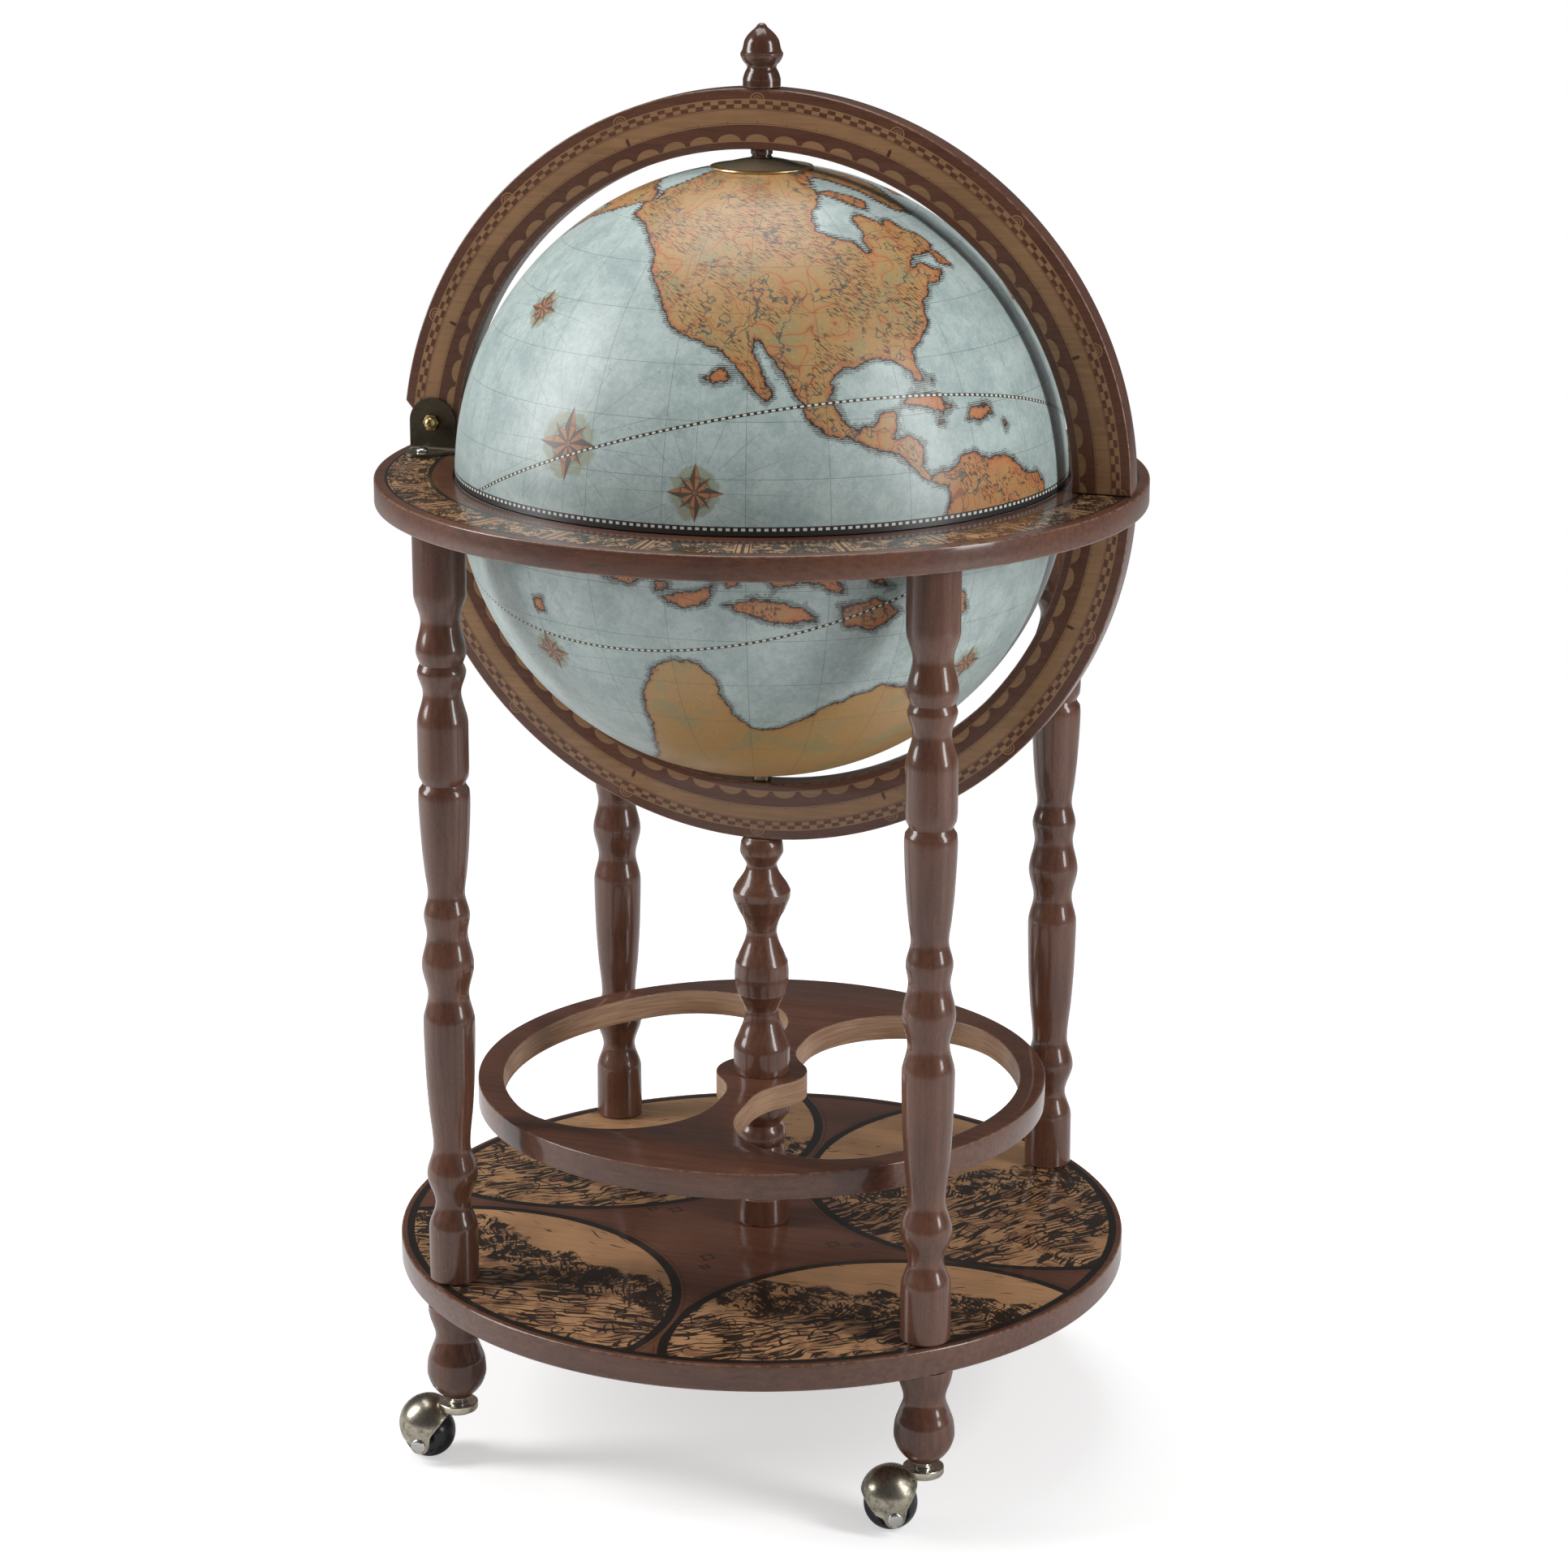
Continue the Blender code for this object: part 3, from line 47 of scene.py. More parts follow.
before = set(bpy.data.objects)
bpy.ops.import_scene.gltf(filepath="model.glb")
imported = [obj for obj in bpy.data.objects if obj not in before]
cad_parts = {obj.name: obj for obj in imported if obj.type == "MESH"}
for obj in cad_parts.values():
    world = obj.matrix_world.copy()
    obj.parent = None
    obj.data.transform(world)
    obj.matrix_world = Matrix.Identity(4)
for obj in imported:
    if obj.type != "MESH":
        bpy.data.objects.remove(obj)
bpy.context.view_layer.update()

MM = 0.001
CORNERS = ("front_left", "front_right", "rear_left", "rear_right")

# Places and sizes of the solids, in metres
RING_LOW, RING_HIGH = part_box("horizon_ring")
LOWER_MERIDIAN_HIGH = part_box("lower_meridian")[1]
UPPER_MERIDIAN_LOW, UPPER_MERIDIAN_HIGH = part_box("upper_meridian")
EQUATOR = RING_HIGH.z
GLOBE_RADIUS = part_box("upper_hemisphere")[1].z - EQUATOR
GLOBE_CENTRE = Matrix.Translation((0, 0, EQUATOR))
GAP = 0.0003

# Stands what lies flat upright, with its own Z to the front
TO_THE_FRONT = Matrix.Rotation(math.radians(90), 4, "X")

# Bores for the centre rod and the studs, for the pole pin and the hinge bolt, and for the casters' axles
ROD_BORE = 0.0043
PIN_BORE = 0.0033
AXLE_BORE = 0.0025

# Casters, about the wheel's centre: the swivel plate's heights and radius, and how the wheel leans
WHEEL_RADIUS = 0.0175
PLATE_LOW, PLATE_HIGH, PLATE_RADIUS = 0.0187, 0.0247, 0.0133
WHEEL_LEAN = Matrix.Rotation(math.radians(-9.0), 4, "X")

# The mouth of a caster's hood from the side, from the front of its ear over the top to the back of the ear
HOOD_MOUTH = (
    (0.0080, 0.0001), (0.0123, 0.0013), (0.0150, 0.0042), (0.0186, 0.0089), (0.030, 0.022), (0.030, 0.045),
    (-0.030, 0.045), (-0.030, 0.032), (-0.0126, 0.0124), (-0.0100, 0.0090), (-0.0080, 0.0060),
)

# A hinge plate's flange from above: across in half widths, then away from the plate in depths
FLANGE_SHAPE = (
    (-0.985, 0.50), (-0.93, 0.70), (-0.75, 0.88), (-0.55, 0.955), (-0.35, 0.985), (-0.15, 0.955),
    (0.05, 0.88), (0.25, 0.75), (0.45, 0.60), (0.62, 0.42), (0.78, 0.22),
)

# Turned shapes, from the foot up: height and radius in millimetres. A third value marks a crisp edge
LEG_SHAPE = (
    (0.0, 15.3, 1), (1.4, 16.3), (36.0, 16.2), (54.0, 11.5), (74.0, 16.7), (94.0, 12.2), (121.0, 14.6),
    (148.0, 16.2), (180.0, 16.9), (198.5, 13.4), (218.5, 17.05), (240.0, 13.3), (252.0, 15.0),
    (267.0, 12.0), (281.0, 13.6), (301.0, 15.4), (332.0, 16.7), (337.0, 16.2, 1), (341.0, 13.8),
    (345.5, 15.9), (352.0, 16.4), (380.0, 16.4), (401.0, 12.2), (415.0, 15.7), (420.0, 13.8, 1),
    (428.0, 16.2), (448.0, 12.7), (466.0, 16.9), (507.0, 17.0, 1),
)
FOOT_SHAPE = (
    (0.0, 9.4, 1), (1.0, 10.2), (4.0, 13.5), (11.0, 18.0), (18.0, 19.7), (26.0, 19.1), (34.0, 16.5),
    (43.5, 13.6), (58.0, 17.4), (62.0, 18.0), (65.7, 18.0, 1),
)
UPPER_COLUMN_SHAPE = (
    (0.0, 18.6, 1), (1.0, 19.0), (16.5, 19.1), (27.5, 15.5), (37.5, 12.0), (43.5, 11.4), (52.5, 14.6),
    (55.6, 16.2, 1), (56.6, 17.0, 1), (69.5, 18.4), (78.2, 17.7, 1), (79.2, 17.3, 1), (80.5, 16.7),
    (84.5, 15.2), (89.5, 13.0), (94.5, 11.2), (99.5, 10.2), (105.5, 11.2), (110.5, 13.1), (115.0, 15.6),
    (119.5, 17.4), (124.2, 19.1), (128.7, 19.5, 1), (133.3, 17.2), (137.9, 14.0), (142.5, 11.4),
    (147.0, 10.2), (151.5, 12.4), (156.5, 14.6), (163.0, 13.9), (167.0, 11.4, 1),
)
LOWER_COLUMN_SHAPE = (
    (0.0, 18.6, 1), (1.0, 19.0), (18.0, 18.0, 1), (24.0, 13.0), (36.0, 18.4), (50.0, 16.0, 1),
    (55.0, 14.5, 1), (60.0, 16.6), (66.0, 15.6), (70.5, 13.4), (74.0, 15.5), (79.0, 19.0),
    (89.4, 18.5, 1),
)
FINIAL_SHAPE = (
    (0.0, 11.7, 1), (0.6, 12.1), (5.0, 12.1, 1), (6.5, 11.7), (9.2, 10.8, 1), (10.0, 10.4), (12.3, 9.3),
    (13.9, 9.8), (15.4, 11.3), (18.5, 13.1), (20.0, 13.65, 1), (21.4, 13.65, 1), (23.0, 12.6),
    (26.0, 11.8), (29.0, 11.1), (32.0, 9.4), (35.0, 6.6), (36.8, 4.5, 1), (37.8, 3.5), (39.2, 2.6),
    (40.0, 1.3, 1),
)

# Coasts of an old-fashioned map: how orange the land is painted, then longitudes and latitudes in degrees
LANDS = (
    (0.45, (
        (-77, 8), (-80, 7.6), (-83, 8.5), (-86, 11.5), (-88, 13.2), (-92, 14.5), (-95, 16), (-99, 16.8),
        (-102, 18.2), (-104.6, 20.5), (-106, 23.5), (-108.4, 27), (-110.8, 30.4), (-113.4, 34.2),
        (-114.8, 35), (-114.6, 32.4), (-113.4, 29), (-112.2, 26.6), (-111, 24.4), (-112.6, 23.6),
        (-115.4, 26.6), (-118, 29.6), (-121.4, 32.6), (-125, 34), (-129.6, 35.4), (-134, 37.4),
        (-136, 40.4), (-138.6, 43), (-141.4, 46), (-144.4, 49.2), (-146, 52.4), (-150, 54.6),
        (-154, 57.4), (-160, 59.4), (-167, 60.6), (-172.6, 64), (-169, 67), (-175, 70.4), (-172, 75),
        (-178, 80), (-150, 85), (-110, 86.5), (-88, 84), (-78, 79), (-84, 75), (-81, 72), (-83, 69),
        (-88, 66.6), (-92, 64.5), (-94, 61), (-94.5, 58.5), (-90, 57), (-84, 55.6), (-81.5, 52.3),
        (-79, 52), (-79.5, 55), (-77, 57.5), (-77.5, 61), (-73, 62.3), (-69.5, 60), (-67, 58.6),
        (-64, 60.2), (-60, 57.4), (-55.6, 54.6), (-53, 51.8), (-57, 50.8), (-61, 50.2), (-66, 50.2),
        (-70.5, 47.3), (-66, 48.9), (-63, 47.4), (-58.6, 46.6), (-62, 44.2), (-67, 44), (-69.4, 41.9),
        (-72.6, 40.6), (-73.8, 37), (-75.2, 35), (-78, 33.2), (-80.6, 31), (-80.2, 28), (-79.8, 25.4),
        (-81.5, 25.2), (-83, 28), (-86, 30.2), (-90, 30.6), (-93, 29.4), (-97, 29.2), (-99.4, 27),
        (-99.6, 23.6), (-98, 20.2), (-95, 18.2), (-92, 18.4), (-90.6, 20.8), (-87, 21.7), (-87.4, 18.2),
        (-88.6, 16), (-85, 16.2), (-82.8, 15), (-83.2, 11), (-81.5, 9), (-79, 9.6),
    )),
    (0.85, (
        (-79, 8.8), (-76.5, 9.6), (-74.5, 11.2), (-72, 12.2), (-70, 11.6), (-67, 10.7), (-63, 10.8),
        (-60, 8.6), (-57, 6.2), (-53, 5.6), (-51, 4), (-50, 0.5), (-44, -2.6), (-39, -3.6), (-35, -6),
        (-36.5, -10), (-39, -14), (-40, -20), (-45, -23.5), (-48.5, -27), (-53, -33), (-57.5, -36),
        (-62, -39), (-65, -43), (-67, -47), (-68.5, -52), (-72, -54), (-75.5, -49), (-73.6, -41),
        (-71.6, -33), (-70.5, -20), (-76, -14), (-80.5, -6), (-80, -2), (-78.5, 1.5), (-77.4, 5),
    )),
    (0.9, ((-86, 21.8), (-83, 23.8), (-78.5, 23.2), (-73.6, 20.6), (-77, 19.6), (-80, 21), (-83, 21.6))),
    (0.9, ((-71.6, 18), (-70, 20.4), (-65.2, 19.6), (-64.6, 17.9), (-68.4, 17.2))),
    (0.7, ((-125, 27.6), (-121, 29.2), (-119.4, 28), (-122.6, 26.6))),
    (0.9, ((-78.4, 18.2), (-76.4, 18.3), (-77.2, 17.6))),
    (0.9, ((-67.2, 18.5), (-65.6, 18.4), (-66.4, 17.8))),
    (0.9, ((-61.8, 16.4), (-61, 15.4), (-61.6, 14.6))),
    (0.8, ((-78.8, 26.8), (-77.4, 26.4), (-78, 25.4))),
    (0.7, ((-59, 47.8), (-57, 51), (-54, 49.5), (-53.2, 47))),
    (0.5, (
        (-44, 60), (-50, 62), (-53, 67), (-54, 71), (-60, 76), (-70, 78), (-60, 82), (-35, 83.5),
        (-18, 81), (-20, 74), (-26, 70), (-37, 66),
    )),
    (0.6, ((-80, 73.6), (-88, 76), (-80, 80), (-66, 80), (-74, 76))),
    (0.8, ((-62, 66), (-66, 68.5), (-74, 71), (-80, 70.5), (-74, 67.5), (-66, 63.5))),
    (0.8, ((-24, 65), (-20, 66.4), (-14, 65), (-19, 63.4))),
    (0.7, (
        (-5.5, 50), (1.5, 51.5), (-1, 54.5), (-2, 57.6), (-5.5, 58.4), (-5, 54.5), (-3.4, 53.2),
        (-5, 51.8),
    )),
    (0.8, ((-10, 51.6), (-6, 52.2), (-6, 55), (-9, 54.4))),
    (0.55, (
        (-9, 37), (-9.3, 43), (-1.5, 43.5), (-1.2, 46), (-4.6, 48.4), (-1.5, 49.6), (2, 51.2), (4.6, 53),
        (8.3, 54.5), (8.2, 57), (10.6, 57.6), (10, 54.4), (14, 54.2), (19.5, 54.6), (21, 57), (24, 58.6),
        (29.6, 59.9), (22.5, 60), (21.4, 63), (25, 65.6), (18, 62), (17, 58.5), (13.5, 55.6), (11, 59),
        (6, 58.2), (5, 61.5), (12, 66), (19, 70), (28, 71), (40, 67.4), (41, 66.4), (34, 66), (37, 64),
        (44, 66), (46, 68), (60, 69), (68, 73), (80, 73.5), (98, 76.6), (112, 74.6), (128, 72),
        (150, 71.6), (168, 70), (180, 69), (189, 66), (180, 63), (170, 60), (163.5, 57.5), (157, 51.4),
        (156, 57), (162, 61.4), (150, 59.4), (137, 54), (141, 49), (131, 43), (128, 38.5), (129.2, 35.4),
        (126.4, 34.8), (125, 39.4), (118, 38.8), (122, 37), (119.6, 34.6), (121.8, 30), (118.5, 24.8),
        (114, 22.2), (109.8, 21.2), (106, 19.2), (109, 12.4), (105, 8.8), (100.4, 13.4), (103.6, 2),
        (101, 3), (98.4, 9), (97, 16.6), (91.6, 22.4), (87, 21.2), (80.3, 15), (77.6, 8.2), (73.4, 17),
        (70, 21), (66.5, 25), (57.4, 26.4), (50.4, 30), (52, 25), (56.2, 25.8), (59.6, 22.4), (52, 16.2),
        (44, 12.8), (39.4, 20.6), (34.8, 28.6), (34.8, 31.8), (36, 36.6), (28, 36.6), (26.4, 40),
        (30, 41.2), (41, 41.4), (37.4, 46.6), (31, 46.4), (28, 43), (26, 40.6), (23, 39.6), (24, 37.6),
        (22, 36.8), (19.4, 41.6), (13.4, 45.4), (18.2, 40.4), (16, 38.2), (12, 42), (8.4, 44.2),
        (3.4, 43), (0, 40), (-2, 36.8), (-6, 36.2),
    )),
    (0.35, (
        (-6, 35.7), (1, 36.6), (10, 37.2), (11, 33.6), (20, 31.2), (25, 31.8), (32, 31), (35, 25),
        (37.4, 20), (43, 11.8), (51, 11.6), (47, 4), (41, -2), (39.4, -8), (40.4, -14), (35.2, -20),
        (33, -26.5), (27, -33.6), (19, -34.6), (15, -27), (12, -17.5), (13.4, -9), (9, -1), (9.4, 4),
        (4.6, 6.4), (-2, 5), (-7.6, 4.6), (-13, 9), (-17, 14.8), (-16.2, 21.4), (-10, 30),
    )),
    (0.9, ((49.4, -12.2), (50.4, -16), (47, -25), (43.6, -22), (44.6, -16))),
    (0.8, ((80, 9.6), (81.6, 7.6), (80.4, 6))),
    (0.9, (
        (130, 33.8), (133, 35.4), (137, 36.8), (140, 40), (141.4, 43.6), (145, 43.2), (141.6, 38),
        (139.6, 35), (134, 33.8),
    )),
    (0.9, ((120.6, 18.4), (122.2, 17), (121, 13.8), (124.2, 12), (126.2, 7), (122.4, 8), (120, 13))),
    (0.9, ((95.4, 5.6), (100.4, 2), (104, -2), (105.8, -5.8), (101.4, -3), (98, 1.6))),
    (0.9, ((109, 1.6), (113, 3.4), (117.2, 6.8), (118.8, 2), (116, -3.6), (111, -3.2))),
    (0.95, (
        (119.6, -1), (120.4, 1.2), (125, 1.6), (121.4, -0.6), (123, -4.4), (121.2, -3), (119.8, -5.4),
    )),
    (0.95, ((105, -7), (108.6, -6.2), (114.4, -8), (111, -9.6), (106.4, -8.4))),
    (0.95, ((116, -9), (119, -8.4), (118.6, -10.4), (116.4, -10.2))),
    (0.95, ((122.6, -11.2), (127.4, -8.6), (126.4, -10.8), (123.6, -12.4))),
    (0.95, ((128.6, -3.4), (131, -3.2), (130.2, -4.4))),
    (0.95, ((129.4, -7.2), (131.6, -6.6), (131.4, -8.6), (130, -9))),
    (0.9, (
        (131, -1), (135, -3.4), (141, -2.8), (147.4, -6), (151, -10.8), (144.4, -8.4), (138, -9),
        (133, -4.6),
    )),
    (0.9, ((153, -5), (156, -7), (160, -10.4), (155.6, -9))),
    (0.9, ((166.4, -12), (168.4, -15), (167, -18.4), (165.4, -14))),
    (0.85, ((88, -16), (90.4, -15.4), (90, -17.6), (88.2, -17.8))),
    (0.8, ((117, -11.4), (123, -10.4), (126, -12.2), (121, -13.6))),
    (0.8, ((129, -12.6), (135, -11.2), (143, -13), (146, -16), (139, -16.6), (133, -14.6))),
    (0.8, ((150, -13), (157, -12.2), (162, -15.4), (157, -18.6), (151, -17))),
    (0.8, ((169, -14.5), (176, -13.5), (178, -17.5), (171, -18.4))),
    (0.12, (
        (112, -29.5), (114, -26.4), (118, -24.6), (123, -25.2), (126.4, -28.6), (127.6, -33.4),
        (129.4, -38), (133.6, -42), (139, -42.6), (145, -40), (150, -36.4), (156, -33.8), (162, -31.6),
        (168, -33), (172.6, -37.5), (177, -43.6), (186, -50), (198, -56), (212, -60), (230, -63),
        (250, -62), (270, -66), (290, -68), (300, -89.9), (60, -89.9), (62, -69), (74, -66), (88, -62.6),
        (98, -58), (103, -52.4), (106.6, -46), (108.4, -39), (109.6, -33.6),
    )),
    (0.12, (
        (-60.2, -68), (-52, -66), (-36, -69), (-16, -68), (4, -66), (22, -68), (42, -66.5), (60.2, -69),
        (60.2, -89.9), (-60.2, -89.9),
    )),
)

# Map longitude plus this turn is the angle from +X at which it lies, for each half of the globe
LID_TURN = 41.0
BOWL_TURN = -208.0

# Compass roses on the seas of each half: map longitude and latitude in degrees, then size in millimetres
LID_ROSES = (
    (-151.0, 14.0, 23.0), (-125.0, 7.5, 18.0), (-172.0, 37.0, 15.0), (-28.0, 36.0, 13.0),
    (62.0, -2.0, 13.0),
)
BOWL_ROSES = ((88.0, -27.0, 16.0), (-176.0, -30.0, 14.0), (-12.0, -30.0, 15.0))


def length_choice(name, note, value):
    """A length that a user may change."""
    return bpy.props.FloatProperty(name=name, description=note, default=value, unit="LENGTH")


def count_choice(name, note, value, least, most):
    """A count that a user may change."""
    return bpy.props.IntProperty(name=name, description=note, default=value, min=least, max=most)


def colour_choice(name, note, value):
    """A colour that a user may change."""
    return bpy.props.FloatVectorProperty(
        name=name, description=note, default=value, size=3, min=0.0, max=1.0, subtype="COLOR"
    )


class GlobeBarSizes(bpy.types.PropertyGroup):
    """Sizes of the fine work that the solids leave out."""

    board_edge: length_choice("Board edge", "Width of the rounded arris on every board", 0.0009)
    turning_steps: count_choice("Turning steps", "Facets round each turned piece", 56, 16, 128)
    globe_steps: count_choice("Globe steps", "Facets round the globe, which carry its coasts", 400, 64, 512)
    rivet_radius: length_choice("Rivet radius", "Radius of the rivet heads on the casters' axles", 0.0048)
    scallops: count_choice("Scallops", "Half moons round a full meridian ring", 72, 12, 144)


class GlobeBarColours(bpy.types.PropertyGroup):
    """Colours of the finishes."""

    walnut: colour_choice("Walnut", "Stain on the turned wood and the boards", (0.130, 0.053, 0.030))
    walnut_dark: colour_choice("Dark grain", "Dark streaks of the stained wood", (0.062, 0.024, 0.016))
    tan: colour_choice("Tan print", "Bare veneer between the printed lines", (0.430, 0.235, 0.115))
    ink: colour_choice("Ink", "Printing ink on the shelf and the rings", (0.016, 0.012, 0.010))
    sea: colour_choice("Sea", "Paper of the seas", (0.290, 0.375, 0.368))
    sea_pale: colour_choice("Pale sea", "Lighter clouds in the seas", (0.470, 0.560, 0.540))
    ochre: colour_choice("Ochre land", "Main colour of the lands", (0.420, 0.250, 0.092))
    orange: colour_choice("Orange land", "Warmer wash near the coasts", (0.480, 0.185, 0.066))
    olive: colour_choice("Olive land", "Greener wash on the lands", (0.290, 0.250, 0.120))
    brass: colour_choice("Brass", "Plate on the pole and the cap nut", (0.500, 0.360, 0.160))
    old_brass: colour_choice("Old brass", "Hoods of the casters", (0.480, 0.440, 0.350))


class Value:
    """A number, place or colour that changes over a surface, with the sums a finish works out from it."""

    def __init__(self, finish, socket):
        self.finish = finish
        self.socket = socket

    def sum(self, operation, *others):
        return self.finish.value("ShaderNodeMath", {"operation": operation}, self, *others)

    def __add__(self, other):
        return self.sum("ADD", other)

    def __sub__(self, other):
        return self.sum("SUBTRACT", other)

    def __mul__(self, other):
        return self.sum("MULTIPLY", other)

    def __truediv__(self, other):
        return self.sum("DIVIDE", other)

    def __rsub__(self, other):
        return self.finish.value("ShaderNodeMath", {"operation": "SUBTRACT"}, other, self)

    def __rtruediv__(self, other):
        return self.finish.value("ShaderNodeMath", {"operation": "DIVIDE"}, other, self)

    def __abs__(self):
        return self.sum("ABSOLUTE")

    __radd__ = __add__
    __rmul__ = __mul__

    def above(self, limit):
        return self.sum("GREATER_THAN", limit)

    def below(self, limit):
        return self.sum("LESS_THAN", limit)

    def most(self, other):
        return self.sum("MAXIMUM", other)

    def least(self, other):
        return self.sum("MINIMUM", other)

    def repeat(self, length):
        """The distance to the middle of the nearest repeat of this length, up to half of it each way."""
        return self.sum("WRAP", length / 2, -length / 2)

    def rise(self, low, high):
        """0 below low, 1 above high, and smooth between."""
        smooth = {"interpolation_type": "SMOOTHSTEP"}
        return self.finish.value("ShaderNodeMapRange", smooth, self, low, high)

    def line(self, half_width, blur):
        """1 on a line where this is near 0."""
        return 1 - abs(self).rise(half_width - blur, half_width + blur)

    def stretched(self, x, y, z):
        return self.finish.value("ShaderNodeVectorMath", {"operation": "MULTIPLY"}, self, (x, y, z))

    def from_point(self, x, y, z):
        return self.finish.value("ShaderNodeVectorMath", {"operation": "SUBTRACT"}, self, (x, y, z))

    def along(self, direction):
        settings = {"operation": "DOT_PRODUCT"}
        return self.finish.value("ShaderNodeVectorMath", settings, self, tuple(direction), output=1)

    def parts(self):
        node = self.finish.node("ShaderNodeSeparateXYZ", {}, self)
        return [Value(self.finish, socket) for socket in node.outputs]


class Finish:
    """A material under construction."""

    def __init__(self, name):
        self.material = bpy.data.materials.new(name)
        self.material.use_nodes = True
        self.tree = self.material.node_tree
        self.shader = self.tree.nodes["Principled BSDF"]

    def join(self, value, socket):
        if isinstance(value, Value):
            self.tree.links.new(value.socket, socket)
        elif socket.type == "RGBA":
            socket.default_value = (*value, 1.0)
        else:
            socket.default_value = value

    def node(self, kind, settings, *values):
        node = self.tree.nodes.new(kind)
        for name, setting in settings.items():
            setattr(node, name, setting)
        sockets = [socket for socket in node.inputs if socket.enabled]
        for value, socket in zip(values, sockets):
            if value is not None:
                self.join(value, socket)
        return node

    def value(self, kind, settings, *values, output=0):
        return Value(self, self.node(kind, settings, *values).outputs[output])

    def place(self):
        """Object coordinates in millimetres."""
        node = self.node("ShaderNodeTexCoord", {})
        return Value(self, node.outputs["Object"]).stretched(1000, 1000, 1000)

    def about_globe(self):
        """Millimetres from the globe's centre."""
        return self.place().from_point(0, 0, EQUATOR * 1000)

    def painted(self, name):
        node = self.node("ShaderNodeAttribute", {"attribute_name": name})
        return Value(self, node.outputs["Fac"])

    def noise(self, place, size, detail=2.0, roughness=0.5, distortion=0.0):
        """Soft noise from 0 to 1 whose clouds are about this many millimetres wide."""
        return self.value("ShaderNodeTexNoise", {}, place, 1.0 / size, detail, roughness, 2.0, distortion)

    def mix(self, share, first, second):
        node = self.node("ShaderNodeMix", {"data_type": "RGBA"})
        self.join(share, node.inputs[0])
        self.join(first, node.inputs[6])
        self.join(second, node.inputs[7])
        return Value(self, node.outputs[2])

    def over(self, colour, *layers):
        """A colour under layers, each of them a share and a colour."""
        for share, paint in layers:
            colour = self.mix(share, colour, paint)
        return colour

    def bump(self, height, strength, distance=0.0005):
        return self.value("ShaderNodeBump", {}, strength, distance, 1.0, height)

    def surface(self, **sockets):
        for name, value in sockets.items():
            self.join(value, self.shader.inputs[name.replace("_", " ").title()])
        return self.material


def reach(x, y):
    """The length of a step of x and y."""
    return (x * x + y * y).sum("SQRT")


def toned(colour, share):
    """A colour made darker or lighter by a share."""
    return tuple(share * part for part in colour)


def drawn_out(place, axis, share):
    """A place whose pattern is drawn out along one axis, as grain is."""
    stretch = [1.0, 1.0, 1.0]
    stretch[axis] = share
    return place.stretched(*stretch)


def lacquer(finish, colour, relief, roughness, coat):
    """A stained and lacquered surface, paler on its arrises: rubbed wear and a painted highlight."""
    place = finish.place()
    # Paler colour on the sharp arrises: partly rubbed wear, partly a painted highlight where they catch
    # light
    rubbed_wear_and_glint = finish.painted("arris_sharpness") * finish.noise(place, 5.0, 3.0, 0.7).rise(0.35, 0.6)
    colour = finish.mix(rubbed_wear_and_glint * 0.42, colour, (0.33, 0.20, 0.135))
    handled = finish.noise(place, 28.0, 3.0, 0.6)
    finish.surface(base_color=colour, normal=relief, roughness=roughness + handled * 0.08 + rubbed_wear_and_glint * 0.1)
    finish.shader.inputs["Specular IOR Level"].default_value = 0.28
    finish.shader.inputs["Coat Weight"].default_value = coat
    finish.shader.inputs["Coat Roughness"].default_value = 0.115
    return finish.material


def beech(finish, place, colours, grain):
    """Colour and relief of stained beech: soft streaks and short fine flecks along the grain's axis."""
    streak = finish.noise(drawn_out(place, grain, 0.045), 3.2, 4.0, 0.6)
    cloud = finish.noise(place, 70.0, 2.0)
    fleck = finish.noise(drawn_out(place, grain, 0.16), 0.55, 2.0, 0.6)
    pores = fleck.rise(0.60, 0.72)
    rays = 1 - fleck.rise(0.28, 0.38)
    tone = (streak * 0.75 + cloud * 0.5 - 0.12).rise(0.15, 0.85)
    colour = finish.mix(tone, colours.walnut_dark, toned(colours.walnut, 1.22))
    colour = finish.mix(pores * 0.60, colour, toned(colours.walnut_dark, 0.5))
    colour = finish.mix(rays * 0.42, colour, (0.24, 0.125, 0.082))
    return colour, finish.bump(streak * 0.4 - pores * 0.6, 0.10)


def wood_finish(name, colours, grain, roughness=0.35, coat=0.75, depth=0.0):
    """Stained and lacquered beech, whose grain a depth hides under a darker and smoother lacquer."""
    finish = Finish(name)
    place = finish.place()
    colour, relief = beech(finish, place, colours, grain)
    if depth:
        colour = finish.mix(depth, colour, toned(colours.walnut_dark, 0.3))
        relief = finish.bump(finish.noise(place, 3.0), 0.02)
    return lacquer(finish, colour, relief, roughness, coat)


def raw_wood_finish():
    """Sawn beech under a thin wash, on the walls of the bottle openings."""
    finish = Finish("raw_beech")
    place = finish.place()
    streak = finish.noise(place.stretched(0.05, 0.05, 1.0), 1.6, 4.0, 0.65)
    cloud = finish.noise(place, 45.0)
    tone = (streak + cloud * 0.6 - 0.3).rise(0.2, 0.8)
    colour = finish.mix(tone, (0.235, 0.130, 0.078), (0.43, 0.27, 0.165))
    return lacquer(finish, colour, finish.bump(streak, 0.15), 0.5, 0.1)


def strokes(finish, place, angle, length, width, limit):
    """Ink of a graver's strokes: long thin marks that swell and bend, thicker where the limit is low."""
    turn = math.radians(angle)
    bend = finish.noise(place, 34.0, 1.0) * 22.0
    along = place.along((math.cos(turn), math.sin(turn), 0.0)) / length
    across = (place.along((-math.sin(turn), math.cos(turn), 0.0)) + bend) / width
    flow = finish.value("ShaderNodeCombineXYZ", {}, along, across, angle)
    return finish.noise(flow, 1.0, 1.0, 0.45).above(limit)


def contours(finish, place, size, count, half_width):
    """Ink of wandering outlines, as of rocks and clouds."""
    field = finish.noise(place, size, 2.0, 0.5) * count
    return field.repeat(1.0).line(half_width, half_width * 0.3)


